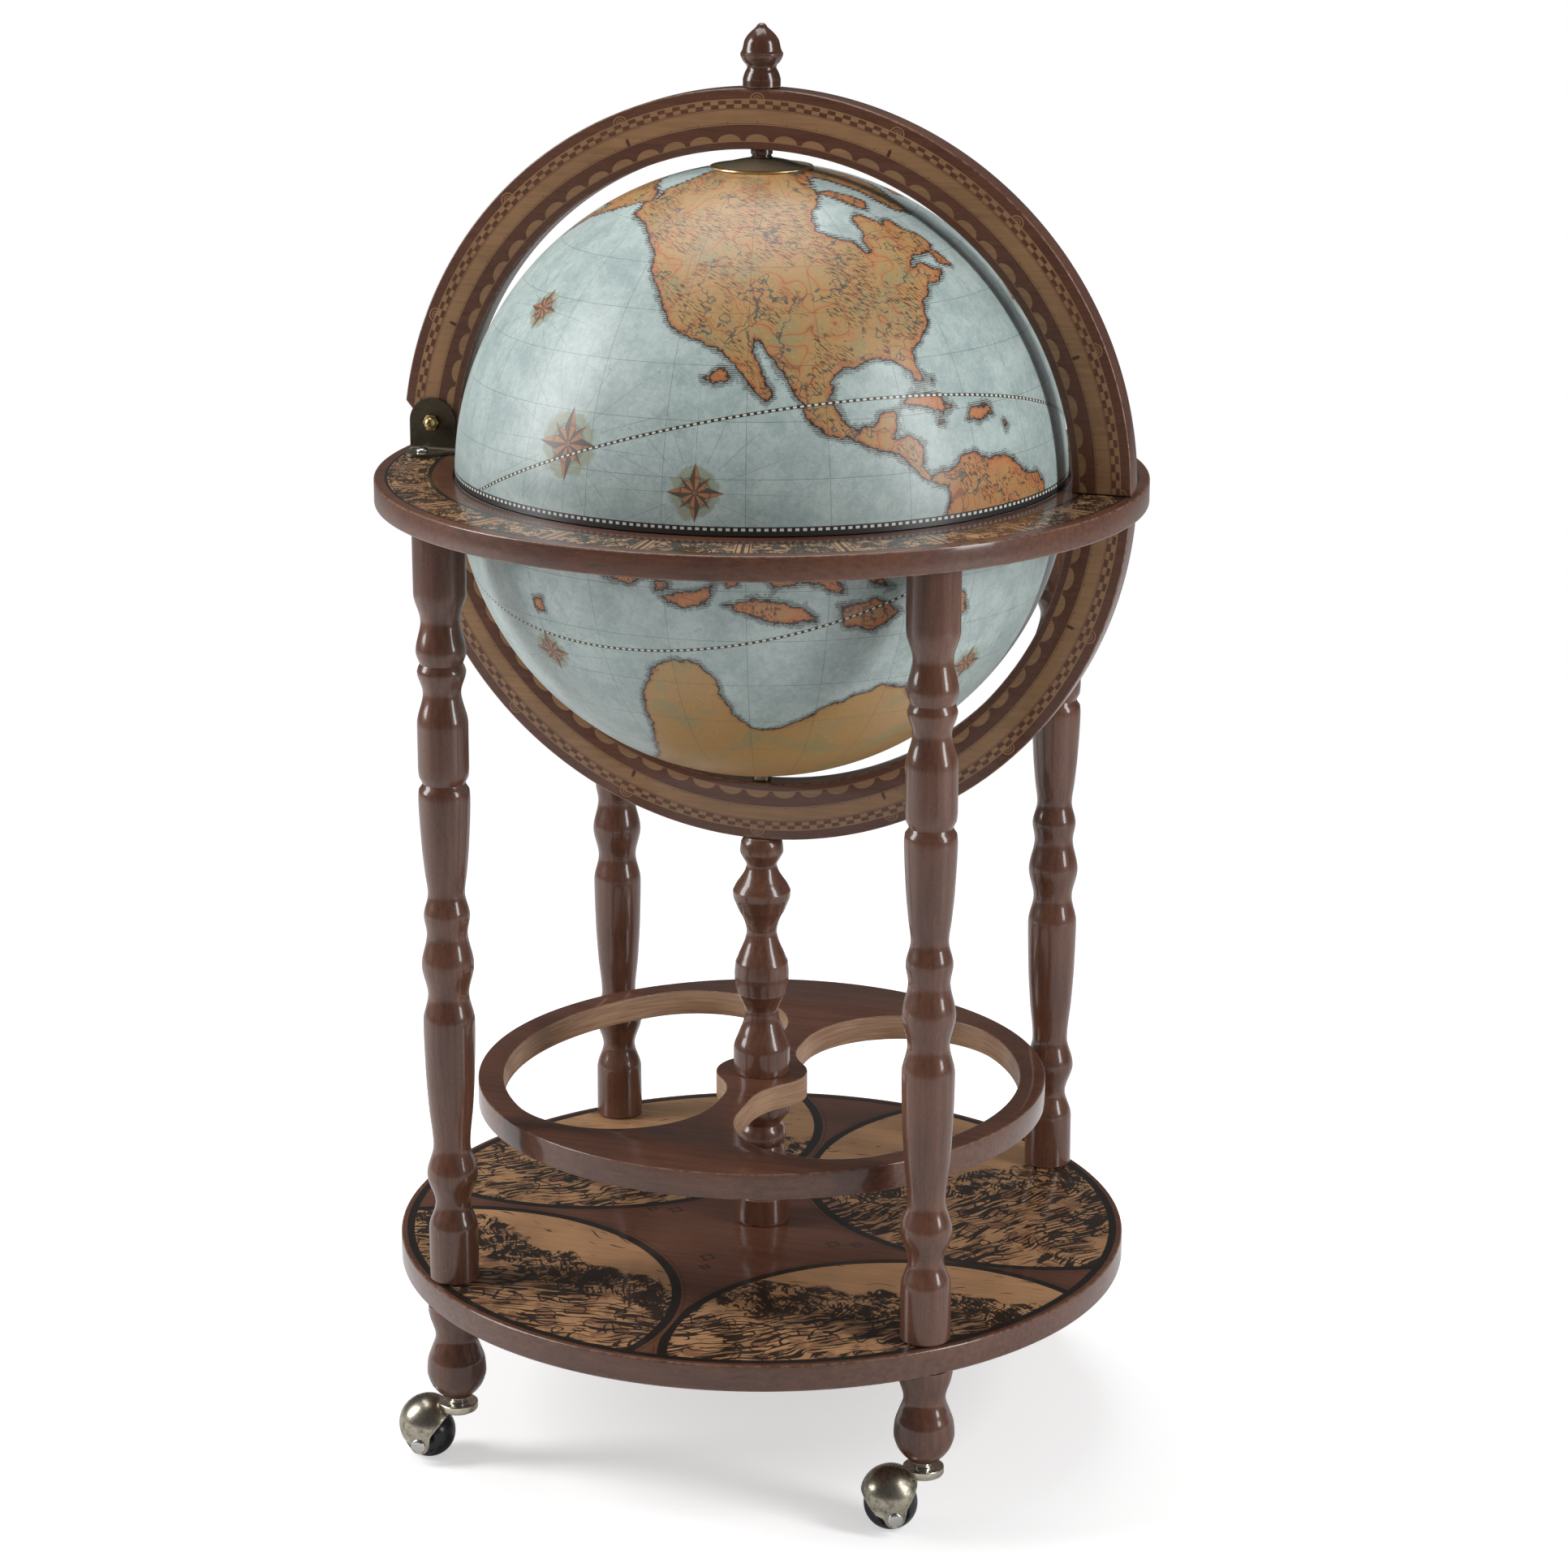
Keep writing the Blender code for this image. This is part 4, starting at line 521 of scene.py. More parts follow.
def picture(finish, place, angle, height):
    """Ink and wash of a plain engraved landscape: hatched sea, rocks and woods under an almost bare sky."""
    turn = math.radians(angle)
    up = place.along((-math.sin(turn), math.cos(turn), 0.0)) - height
    ridge = finish.noise(place, 38.0, 3.0, 0.55) * 84.0 - 42.0
    dense = finish.noise(place, 15.0, 3.0, 0.6)
    figure = finish.noise(place, 24.0, 1.0)
    water = strokes(finish, place, angle + 30.0, 26.0, 2.6, 0.76 - figure * 0.46)
    rocks = strokes(finish, place, angle - 42.0, 12.0, 2.1, 1.02 - dense * 0.98)
    woods = strokes(finish, place, angle + 70.0, 8.0, 1.9, 1.02 - figure * 0.96)
    lines = contours(finish, place, 30.0, 9.0, 0.095)
    sky = strokes(finish, place, angle + 4.0, 26.0, 2.6, 0.70)
    near = rocks.most(woods).most(lines)
    water = water.most(lines * figure.rise(0.42, 0.46))
    land = (up + ridge).rise(-2.0, 2.0)
    high = (up - 40.0 + ridge * 0.7).rise(-2.0, 2.0)
    ground = finish.value("ShaderNodeMix", {"data_type": "FLOAT"}, land, water, near)
    ink = finish.value("ShaderNodeMix", {"data_type": "FLOAT"}, high, ground, sky)
    shade = dense.rise(0.46, 0.62) * (1 - high) * 0.66
    return ink, shade


def printed_tan(finish, place, colours, grain, share=1.0):
    """The warm veneer under the printing, with a faint grain."""
    streak = finish.noise(drawn_out(place, grain, 0.06), 2.4, 3.0, 0.6)
    cloud = finish.noise(place, 40.0)
    tone = (streak * 0.6 + cloud * 0.5).rise(0.3, 0.8)
    return finish.mix(tone, toned(colours.tan, 0.74 * share), toned(colours.tan, 1.12 * share))


# The base shelf's four round pictures: centre x, y and radius in millimetres, and the way up of the picture
MEDALLIONS = (
    (152.0, -190.0, 151.0, 8.0),
    (-157.0, -191.0, 153.0, -24.0),
    (164.0, 128.0, 163.0, 28.0),
    (-166.0, 132.0, 160.0, 12.0),
)
SHELF_PRINT_RADIUS = 240.5


def base_print_finish(colours):
    """The printed top of the base shelf."""
    finish = Finish("base_shelf_print")
    place = finish.place()
    x, y, _ = place.parts()
    wood, relief = beech(finish, place, colours, 0)
    tan = printed_tan(finish, place, colours, 0)
    colour = wood
    for centre_x, centre_y, radius, angle in MEDALLIONS:
        inside = radius - reach(x - centre_x, y - centre_y)
        own_half = (x * math.copysign(1.0, centre_x)).above(0.5)
        ink, shade = picture(finish, place.from_point(centre_x * 0.7, centre_y * 0.7, 0), angle, -6.0)
        scene = finish.over(tan, (shade, toned(colours.walnut, 1.1)), (ink * 0.96, colours.ink))
        colour = finish.over(
            colour,
            (inside.above(4.0) * own_half, scene),
            ((inside - 1.0).line(3.2, 0.25) * own_half, colours.ink),
            ((inside + 4.6).line(0.35, 0.2) * own_half * 0.7, colours.ink),
        )
    past_print = reach(x, y) - SHELF_PRINT_RADIUS
    colour = finish.over(colour, (past_print.line(2.6, 0.25), colours.ink), (past_print.above(2.6), wood))
    for turn in range(4):
        for out, size, lead in ((62.0, 6.4, -12.0), (77.0, 4.6, -7.0)):
            angle = math.radians(90.0 * turn + lead)
            away_x = x - out * math.cos(angle)
            away_y = y - (out * math.sin(angle) - 18.0)
            bearing = away_y.sum("ARCTAN2", away_x)
            petal = (bearing * 4.0).sum("COSINE") * 0.18 + 0.82
            curl = (reach(away_x, away_y) / petal - size * 0.72).line(1.0, 0.25)
            colour = finish.mix(curl * 0.92, colour, colours.ink)
    return lacquer(finish, colour, relief, 0.27, 0.5)


def ring_print_finish(colours):
    """The printed top of the horizon ring."""
    finish = Finish("horizon_ring_print")
    place = finish.place()
    x, y, _ = place.parts()
    wood, relief = beech(finish, place, colours, 0)
    tan = printed_tan(finish, place, colours, 0)
    from_middle = reach(x, y)
    angle = y.sum("ARCTAN2", x)
    along = angle * 230.0
    tone = finish.noise(place, 9.0, 3.0, 0.65)
    hatch = strokes(finish, place, 20.0, 9.0, 1.5, 0.93 - tone * 0.84)
    cross = strokes(finish, place, -58.0, 6.0, 1.4, 0.98 - tone * 0.90)
    lines = contours(finish, place, 17.0, 7.0, 0.10)
    gap = along.repeat(230.0 * math.pi / 12)
    panel = gap.line(1.1, 0.25).most((abs(gap) - 3.8).line(0.45, 0.25))
    inked = hatch.most(cross).most(lines) * (abs(gap) - 5.0).rise(-0.3, 0.3)
    shade = tone.rise(0.48, 0.66) * 0.55
    scene = finish.over(tan, (shade, toned(colours.walnut, 1.1)), (inked.most(panel) * 0.94, colours.ink))
    colour = finish.mix((from_middle - 230.5).line(13.5, 0.25), wood, scene)
    for radius, half_width in ((216.2, 1.5), (219.6, 0.3), (244.6, 0.9), (242.2, 0.25)):
        colour = finish.mix((from_middle - radius).line(half_width, 0.2), colour, colours.ink)
    return lacquer(finish, colour, relief, 0.27, 0.5)


def meridian_print_finish(colours, scallops):
    """The printed faces of the meridian rings: checkers, a plain tan band, degree marks and half moons."""
    finish = Finish("meridian_print")
    place = finish.about_globe()
    x, _, z = place.parts()
    from_centre = reach(x, z)
    angle = z.sum("ARCTAN2", x)
    wood, relief = beech(finish, place, colours, 0)
    tan = printed_tan(finish, place, colours, 0, 0.66)
    dark = finish.mix(0.35, wood, toned(colours.walnut, 0.7))
    ink = toned(colours.walnut, 0.55)
    outer = 248.5
    inward = outer - from_centre
    degree = math.pi / 180.0
    band = inward.above(7.3) * inward.below(12.3)
    cell = (angle * (180.0 / math.pi / 1.25)).sum("FLOOR")
    row = inward.above(9.8)
    checker = (cell + row).sum("MODULO", 2.0).sum("ABSOLUTE")
    tick = (angle.repeat(5.0 * degree) * 226.0).line(0.2, 0.12) * (inward - 21.5).line(0.8, 0.1)
    step = 2.0 * math.pi / scallops
    moon_across = angle.repeat(step) * 216.0 / 7.9
    moon_up = (33.2 - inward) / 4.5
    moon = 1 - moon_across * moon_across - moon_up * moon_up
    rosette_across = (angle - math.pi / 2).repeat(22.5 * degree) * 243.0
    rosette_up = 6.6 - inward
    rosette = (rosette_across * rosette_across + rosette_up * rosette_up * 1.25).sum("SQRT")
    upper = inward.below(6.7)
    spear_across = abs((angle - math.pi / 2 + 22.5 * degree).repeat(45.0 * degree) * 230.0)
    spear_up = inward - 19.3
    head = 1 - spear_across * 0.72 - abs(spear_up) * 0.42
    tail = (1.15 - spear_across).rise(0.0, 0.15) * (spear_up - 2.0).line(1.4, 0.15)
    colour = finish.over(
        dark,
        ((inward - 6.9).line(0.42, 0.15), tan),
        (band * checker.above(0.5), tan),
        ((inward - 17.9).line(5.1, 0.15), tan),
        ((inward - 13.5).line(0.16, 0.12) * 0.8, ink),
        ((inward - 22.1).line(0.16, 0.12) * 0.8, ink),
        (tick * 0.9, ink),
        (moon.rise(-0.02, 0.06) * inward.below(33.2), tan),
        ((inward - 33.5).line(0.22, 0.15), tan),
        ((inward - 23.1).line(0.14, 0.12) * 0.7, ink),
        ((rosette - 4.4).line(0.4, 0.15) * upper, tan),
        ((rosette - 2.4).line(0.3, 0.15) * upper, tan),
        ((rosette - 0.6).line(0.5, 0.15) * upper, tan),
        (head.rise(0.0, 0.12).most(tail), ink),
    )
    return lacquer(finish, colour, relief, 0.33, 0.35)


def along_map(longitude, latitude, turn):
    """The direction of a place on the map."""
    theta = math.radians(longitude + turn)
    phi = math.radians(latitude)
    return Vector((math.cos(phi) * math.cos(theta), math.cos(phi) * math.sin(theta), math.sin(phi)))


def compass_rose(place, longitude, latitude, turn, size, ragged):
    """Ink and wash of a plain compass rose, and its fine rhumb lines, about a place on the sea."""
    out = along_map(longitude, latitude, turn)
    east = Vector((0, 0, 1)).cross(out).normalized()
    north = out.cross(east)
    u = place.along(east)
    v = place.along(north)
    near = place.along(out).above(0.0)
    away = reach(u, v)
    bearing = v.sum("ARCTAN2", u)
    long_point = abs(bearing.repeat(math.pi / 2)) * 2.9
    short_point = abs((bearing + math.pi / 4).repeat(math.pi / 2)) * 4.6 + 0.35
    star = 1 / (long_point.least(short_point) + 1.0) * size
    inside = (star - away).rise(-0.2, 0.25)
    half = bearing.repeat(math.pi / 4).above(0.0)
    outline = (star - away).line(0.3, 0.2)
    rings = (away - size * 0.50).line(0.3, 0.2).most((away - size * 0.56).line(0.18, 0.15))
    centre = (away - size * 0.1).line(0.3, 0.2)
    rays = (abs(bearing.repeat(math.pi / 8)) * away).line(0.16, 0.14) * (away - size * 1.05).above(0.0)
    rays = rays * (1 - away.rise(size * 2.0, size * 4.2))
    ink = (inside * half).most(outline).most(rings).most(centre) * near
    wash = inside * (1 - half) * near
    pool = (size * 0.95 - away + ragged * 14.0).rise(0.0, 3.0) * near
    return ink, wash, rays * near, pool


def map_finish(name, colours, turn, roses, ecliptic, rim_band):
    """Antique map paper: mottled seas, washed lands with ragged dark coasts, and a fine net of degrees."""
    finish = Finish(name)
    place = finish.about_globe()
    x, y, z = place.parts()
    radius = GLOBE_RADIUS * 1000
    angle = y.sum("ARCTAN2", x)
    across = reach(x, y)
    latitude = z.sum("ARCTAN2", across)
    ragged = finish.noise(place, 7.0, 4.0, 0.62) - 0.5
    crumbs = finish.noise(place, 1.7, 2.0, 0.6) - 0.5
    bays = finish.noise(place.from_point(40, 0, 25), 19.0, 2.0) - 0.5
    coast = finish.painted("coast") + bays * 7.0 + ragged * 8.0 + crumbs * 2.2
    east = angle * across
    north = latitude * radius
    wash = finish.painted("wash")
    land = coast.rise(-0.12, 0.12)

    cloud = finish.noise(place, 26.0, 4.0, 0.62)
    speck = finish.noise(place, 1.3, 2.0, 0.7)
    foxing = finish.noise(place, 6.0, 3.0, 0.7)
    mottle = finish.noise(place, 3.4, 3.0, 0.75)
    sea_tone = (cloud * 0.8 + foxing * 0.45 + mottle * 0.55 - 0.40).rise(0.25, 0.75)
    hatch = z.repeat(1.1).line(0.30, 0.12) * (coast + 3.8 + crumbs * 4.0).rise(0.0, 1.6) * 0.85
    shore = (coast + 4.2).rise(0.0, 4.2) * 0.42
    sea = finish.over(
        colours.sea,
        (sea_tone, colours.sea_pale),
        (speck.rise(0.58, 0.74) * 0.42, (0.17, 0.22, 0.22)),
        (foxing.rise(0.56, 0.74) * 0.34, (0.33, 0.36, 0.31)),
        ((1 - mottle.rise(0.30, 0.42)) * 0.30, (0.66, 0.72, 0.68)),
        (shore, (0.17, 0.17, 0.14)),
        (hatch, (0.045, 0.04, 0.035)),
    )

    region = finish.noise(place, 42.0, 2.0, 0.5)
    patch = finish.noise(place.from_point(90, 40, 10), 30.0, 3.0, 0.6)
    orange_share = (region * 0.9 + wash * 1.1 - 0.80 + (1 - coast.rise(0.0, 7.0)) * 0.62).rise(0.2, 0.95)
    greener = patch.rise(0.50, 0.68) * (1 - orange_share * 0.6) * 0.75
    ranges = finish.noise(place.from_point(30, 70, 5), 26.0, 2.0, 0.6)
    slant = finish.value("ShaderNodeCombineXYZ", {}, (east + north * 0.6) / 1.35, north / 3.4, 0.0)
    hills = finish.noise(slant, 1.0, 1.0, 0.5).rise(0.54, 0.58) * ranges.rise(0.46, 0.52)
    tall = finish.value("ShaderNodeCombineXYZ", {}, east / 1.9, north / 1.0, 4.0)
    tufts = finish.noise(tall, 1.0, 1.0, 0.4).rise(0.66, 0.70) * region.rise(0.40, 0.50)
    provinces = (finish.noise(place.from_point(5, 60, 90), 44.0, 2.0) * 9.0).repeat(1.0)
    charted = wash.rise(0.16, 0.34)
    streams = finish.noise(place.from_point(11, 5, 60), 52.0, 4.0, 0.62) - 0.5
    known = coast.rise(1.5, 3.5) * charted
    ground = finish.over(
        colours.ochre,
        (orange_share, colours.orange),
        (greener, colours.olive),
        (speck.rise(0.55, 0.72) * 0.36, (0.15, 0.08, 0.035)),
        (mottle.rise(0.56, 0.72) * 0.34, (0.55, 0.38, 0.18)),
        ((1 - coast.rise(0.3, 3.0)) * 0.62, (0.22, 0.075, 0.028)),
        (provinces.line(0.13, 0.12) * charted * 0.50, (0.50, 0.15, 0.05)),
        (provinces.line(0.020, 0.012) * charted * 0.55, (0.10, 0.05, 0.03)),
        (streams.line(0.0055, 0.003) * charted * 0.85, (0.060, 0.075, 0.070)),
        ((hills * 0.85).most(tufts * 0.8) * known, (0.065, 0.034, 0.020)),
    )

    meridians = (angle.repeat(math.radians(15.0)) * across).line(0.17, 0.14)
    parallels = (latitude.repeat(math.radians(10.0)) * radius).line(0.17, 0.14)
    net = meridians.most(parallels) * across.above(30.0)
    wind = finish.noise(place.stretched(1.0, 1.0, 4.5), 1.9, 1.0, 0.5).rise(0.66, 0.69)
    route = z.repeat(31.0).line(2.2, 0.5) * cloud.rise(0.46, 0.54) * (1 - (coast + 14.0).rise(0.0, 4.0))
    colour = finish.over(
        sea,
        (land, ground),
        (coast.line(0.55, 0.30) * 0.95, (0.024, 0.015, 0.011)),
        (net * 0.60, (0.06, 0.05, 0.04)),
        (wind * route * 0.65, (0.07, 0.07, 0.065)),
    )
    for longitude, at_latitude, size in roses:
        ink, tint, rays, pool = compass_rose(place, longitude, at_latitude, turn, size, ragged)
        open_sea = 1 - land
        colour = finish.over(
            colour,
            (rays * open_sea * 0.5, (0.10, 0.09, 0.08)),
            (pool * (0.35 + mottle * 0.5) * open_sea, (0.22, 0.22, 0.10)),
            (tint * 0.85, (0.42, 0.14, 0.045)),
            (ink * 0.88, (0.06, 0.035, 0.025)),
        )

    pole, start = ecliptic
    first = pole.cross(start).normalized()
    off_line = place.along(pole)
    along_line = place.along(first).sum("ARCTAN2", place.along(start)) * radius
    dash = along_line.repeat(4.4)
    colour = finish.mix(off_line.line(1.0, 0.15), colour, (0.03, 0.025, 0.02))
    colour = finish.mix(off_line.line(0.62, 0.12) * dash.line(1.15, 0.15), colour, (0.66, 0.68, 0.60))
    if rim_band:
        height = abs(z)
        squares = (angle * radius).repeat(4.7).line(1.25, 0.15) * (height - 4.4).line(0.85, 0.12)
        colour = finish.mix(1 - height.rise(6.0, 6.3), colour, (0.022, 0.020, 0.018))
        colour = finish.mix(squares, colour, (0.62, 0.66, 0.62))
    finish.surface(base_color=colour, roughness=0.42 + cloud * 0.10, normal=finish.bump(foxing, 0.02))
    finish.shader.inputs["Coat Weight"].default_value = 0.30
    finish.shader.inputs["Coat Roughness"].default_value = 0.28
    return finish.material


def inside_paper_finish():
    """The plain lining inside the globe."""
    finish = Finish("globe_lining")
    place = finish.place()
    fibre = finish.noise(place, 2.2, 3.0, 0.65)
    cloud = finish.noise(place, 35.0)
    tone = (fibre * 0.5 + cloud * 0.5).rise(0.3, 0.7)
    colour = finish.mix(tone, (0.105, 0.052, 0.034), (0.19, 0.10, 0.062))
    return finish.surface(base_color=colour, roughness=0.62, normal=finish.bump(fibre, 0.12))


def metal_finish(name, colour, roughness, tarnish, dark, size):
    """A metal with fine scratches, and clouds of tarnish where it is old."""
    finish = Finish(name)
    place = finish.place()
    scratch = finish.noise(place.stretched(1.0, 0.15, 1.0), 0.4, 2.0)
    cloud = finish.noise(place, size, 4.0, 0.7)
    arris_sharpness = finish.painted("arris_sharpness")
    stain = cloud.rise(0.42, 0.68) * tarnish * (1 - arris_sharpness * 0.8)
    bright = finish.mix(arris_sharpness * 0.6, colour, tuple(min(1.0, 1.7 * part + 0.05) for part in colour))
    finish.surface(
        base_color=finish.mix(stain, bright, dark),
        metallic=1.0 - stain * 0.25,
        roughness=roughness + scratch * 0.10 + stain * 0.18,
        normal=finish.bump(scratch * 0.3 + cloud, 0.05 + 0.15 * tarnish),
    )
    return finish.material


def plastic_finish(name, colour, roughness):
    """Black rubber or plastic with faint clouds."""
    finish = Finish(name)
    place = finish.place()
    fine = finish.noise(place, 0.9, 2.0)
    cloud = finish.noise(place, 9.0, 3.0)
    shade = finish.mix(cloud.rise(0.35, 0.7), colour, tuple(1.7 * part + 0.004 for part in colour))
    relief = finish.bump(fine, 0.02)
    return finish.surface(base_color=shade, roughness=roughness + fine * 0.08, normal=relief)


FINISHES = {}


def sun_path(crossing):
    """The pole and the start of the sun's yearly path, which crosses the equator at an angle from +X."""
    tilt = math.radians(23.44)
    zero = math.radians(crossing)
    pole = Vector((math.sin(tilt) * math.sin(zero), -math.sin(tilt) * math.cos(zero), math.cos(tilt)))
    return pole, Vector((math.cos(zero), math.sin(zero), 0.0))


def make_finishes(colours, sizes):
    """Every finish once, under the name that the pieces use."""
    bronze, worn_bronze, steel = (0.105, 0.085, 0.058), (0.30, 0.245, 0.165), (0.62, 0.62, 0.60)
    FINISHES.update(
        turned=wood_finish("turned_walnut", colours, 2),
        board=wood_finish("walnut_board", colours, 0),
        finial=wood_finish("finial_lacquer", colours, 2, 0.24, 0.8, 0.45),
        raw=raw_wood_finish(),
        base_print=base_print_finish(colours),
        ring_print=ring_print_finish(colours),
        meridian_print=meridian_print_finish(colours, sizes.scallops),
        lid_map=map_finish("map_of_the_lid", colours, LID_TURN, LID_ROSES, sun_path(-139.0), True),
        bowl_map=map_finish("map_of_the_bowl", colours, BOWL_TURN, BOWL_ROSES, sun_path(-16.0), False),
        lining=inside_paper_finish(),
        brass=metal_finish("brass", colours.brass, 0.24, 0.25, (0.20, 0.14, 0.06), 14.0),
        old_brass=metal_finish("old_brass", colours.old_brass, 0.22, 0.62, (0.06, 0.053, 0.042), 4.5),
        bronze=metal_finish("dark_bronze", bronze, 0.34, 0.6, (0.02, 0.017, 0.013), 7.0),
        worn_bronze=metal_finish("worn_bronze", worn_bronze, 0.44, 0.5, (0.10, 0.08, 0.055), 9.0),
        steel=metal_finish("bright_steel", steel, 0.20, 0.12, (0.3, 0.3, 0.3), 5.0),
        black=plastic_finish("black_rubber", (0.012, 0.012, 0.013), 0.20),
        black_edge=plastic_finish("black_edge", (0.018, 0.017, 0.016), 0.45),
    )


def mesh_of(name, shape):
    """The mesh of a shape, which is used up."""
    mesh = bpy.data.meshes.new(name)
    shape.to_mesh(mesh)
    shape.free()
    return mesh


def placed(name, data):
    """A new object in the scene."""
    made = bpy.data.objects.new(name, data)
    bpy.context.scene.collection.objects.link(made)
    return made


def outcome(made):
    """The plain mesh that an object comes out as."""
    bpy.context.view_layer.update()
    graph = bpy.context.evaluated_depsgraph_get()
    return bpy.data.meshes.new_from_object(made.evaluated_get(graph))


def merged(shape, distance=0.0000005):
    """Weld the doubled points of a shape and turn its faces outwards."""
    bmesh.ops.remove_doubles(shape, verts=shape.verts, dist=distance)
    bmesh.ops.recalc_face_normals(shape, faces=shape.faces)
    return shape


def piece(name, shape, finishes, body, *nodes, crisp=32.0):
    """Finish a shape as a named piece that rides a body in place of its solids."""
    return piece_of_mesh(name, mesh_of(name, shape), finishes, body, *nodes, crisp=crisp)


def mark_arris_sharpness(mesh):
    """Store how sharp the arrises are, from 0 to 1, at the corners of the small faces that round them."""
    count = len(mesh.vertices)
    place = np.empty(count * 3, np.float32)
    normal = np.empty(count * 3, np.float32)
    edges = np.empty(len(mesh.edges) * 2, np.int32)
    mesh.vertices.foreach_get("co", place)
    mesh.vertex_normals.foreach_get("vector", normal)
    mesh.edges.foreach_get("vertices", edges)
    place = place.reshape(-1, 3).astype(float)
    normal = normal.reshape(-1, 3).astype(float)
    first, second = edges.reshape(-1, 2).T
    span = place[second] - place[first]
    square = np.maximum((span * span).sum(axis=1), 1e-12)
    bend = np.zeros(count)
    np.maximum.at(bend, first, -2 * (span * normal[first]).sum(axis=1) / square)
    np.maximum.at(bend, second, 2 * (span * normal[second]).sum(axis=1) / square)
    areas = np.empty(len(mesh.polygons), np.float32)
    totals = np.empty(len(mesh.polygons), np.int32)
    corners = np.empty(len(mesh.loops), np.int32)
    mesh.polygons.foreach_get("area", areas)
    mesh.polygons.foreach_get("loop_total", totals)
    mesh.loops.foreach_get("vertex_index", corners)
    arris_sharpness = np.clip((bend - 150) / 600, 0, 1)[corners] * (np.repeat(areas, totals) < 0.000012)
    layer = mesh.attributes.new("arris_sharpness", "FLOAT", "CORNER")
    layer.data.foreach_set("value", arris_sharpness.astype(np.float32))


def piece_of_mesh(name, mesh, finishes, body, *nodes, crisp=32.0):
    """Finish a mesh as a named piece that rides a body in place of its solids."""
    mark_arris_sharpness(mesh)
    for finish in finishes:
        mesh.materials.append(FINISHES[finish])
    for face in mesh.polygons:
        face.use_smooth = True
    mesh.set_sharp_from_angle(angle=math.radians(crisp))
    made = placed(name, mesh)
    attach(made, body)
    if nodes:
        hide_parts(*nodes)
    return made


def eased(stations, spacing=1.0):
    """Points (height, radius) through the stations of a turned shape, smooth except at its crisp edges."""
    heights = np.array([station[0] for station in stations], float)
    radii = np.array([station[1] for station in stations], float)
    crisp = np.array([len(station) > 2 for station in stations])
    step = np.diff(heights)
    slope = np.diff(radii) / step
    lean = np.zeros(len(heights))
    for index in range(1, len(heights) - 1):
        before, after = slope[index - 1], slope[index]
        if before * after > 0:
            lean[index] = 2 * before * after / (before + after)
    points = []
    for index, length in enumerate(step):
        start = slope[index] if crisp[index] else lean[index]
        end = slope[index] if crisp[index + 1] else lean[index + 1]
        count = max(1, int(round(length / spacing)))
        if crisp[index] and crisp[index + 1]:
            count = 1
        for part in np.arange(count) / count:
            a = 2 * part**3 - 3 * part**2 + 1
            b = part**3 - 2 * part**2 + part
            c = -2 * part**3 + 3 * part**2
            d = part**3 - part**2
            radius = a * radii[index] + b * length * start + c * radii[index + 1] + d * length * end
            points.append((heights[index] + part * length, radius))
    points.append((heights[-1], radii[-1]))
    return points


def turn_outline(shape, outline, steps, matrix=None, closed=False, slots=None):
    """Turn an outline of (radius, height) in metres about Z. Points on the axis become poles."""
    matrix = matrix or Matrix()
    rings = []
    for radius, height in outline:
        if radius < 0.0000005:
            rings.append([shape.verts.new(matrix @ Vector((0, 0, height)))])
            continue
        ring = []
        for step in range(steps):
            angle = 2 * math.pi * step / steps
            point = Vector((radius * math.cos(angle), radius * math.sin(angle), height))
            ring.append(shape.verts.new(matrix @ point))
        rings.append(ring)
    pairs = list(zip(rings, rings[1:]))
    if closed:
        pairs.append((rings[-1], rings[0]))
    for index, (upper, lower) in enumerate(pairs):
        for step in range(steps):
            after = (step + 1) % steps
            if len(upper) == 1 and len(lower) == 1:
                break
            if len(upper) == 1:
                corners = (upper[0], lower[step], lower[after])
            elif len(lower) == 1:
                corners = (upper[step], lower[0], upper[after])
            else:
                corners = (upper[step], lower[step], lower[after], upper[after])
            face = shape.faces.new(corners)
            if slots:
                face.material_index = slots[index]


def turned_solid(stations, steps, bottom, bore=0.0, spacing=1.0, bore_depth=None):
    """A bmesh of a turned piece on the Z axis, from its stations in millimetres."""
    side = [(radius * MM, bottom + height * MM) for height, radius in eased(stations, spacing)][::-1]
    top = side[0][1]
    foot = side[-1][1]
    shape = bmesh.new()
    if bore and bore_depth is None:
        turn_outline(shape, [(bore, top)] + side + [(bore, foot)], steps, closed=True)
    elif bore:
        blind_bore = [(bore, foot), (bore, foot + bore_depth), (0, foot + bore_depth)]
        turn_outline(shape, [(0, top)] + side + blind_bore, steps)
    else:
        turn_outline(shape, [(0, top)] + side + [(0, foot)], steps)
    return merged(shape)


def turned_piece(name, outline, place, finish, body, node, steps=40):
    """Turn an outline of (radius, height) in metres and finish it as a piece in place of its solid."""
    shape = bmesh.new()
    turn_outline(shape, outline, steps, place)
    piece(name, merged(shape), [finish], body, node)


def middle(node):
    """The middle of a solid's box."""
    low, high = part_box(node)
    return (low + high) / 2


def new_tree(name, inputs):
    """A geometry node tree with its inputs, the names that they go by, and the node that brings them in."""
    tree = bpy.data.node_groups.new(name, "GeometryNodeTree")
    tree.interface.new_socket("Geometry", in_out="INPUT", socket_type="NodeSocketGeometry")
    names = {}
    for key, (label, kind, unit) in inputs.items():
        socket = tree.interface.new_socket(label, in_out="INPUT", socket_type="NodeSocket" + kind)
        if unit:
            socket.subtype = unit
        names[key] = socket.identifier
    tree.interface.new_socket("Geometry", in_out="OUTPUT", socket_type="NodeSocketGeometry")
    return tree, names, tree.nodes.new("NodeGroupInput")


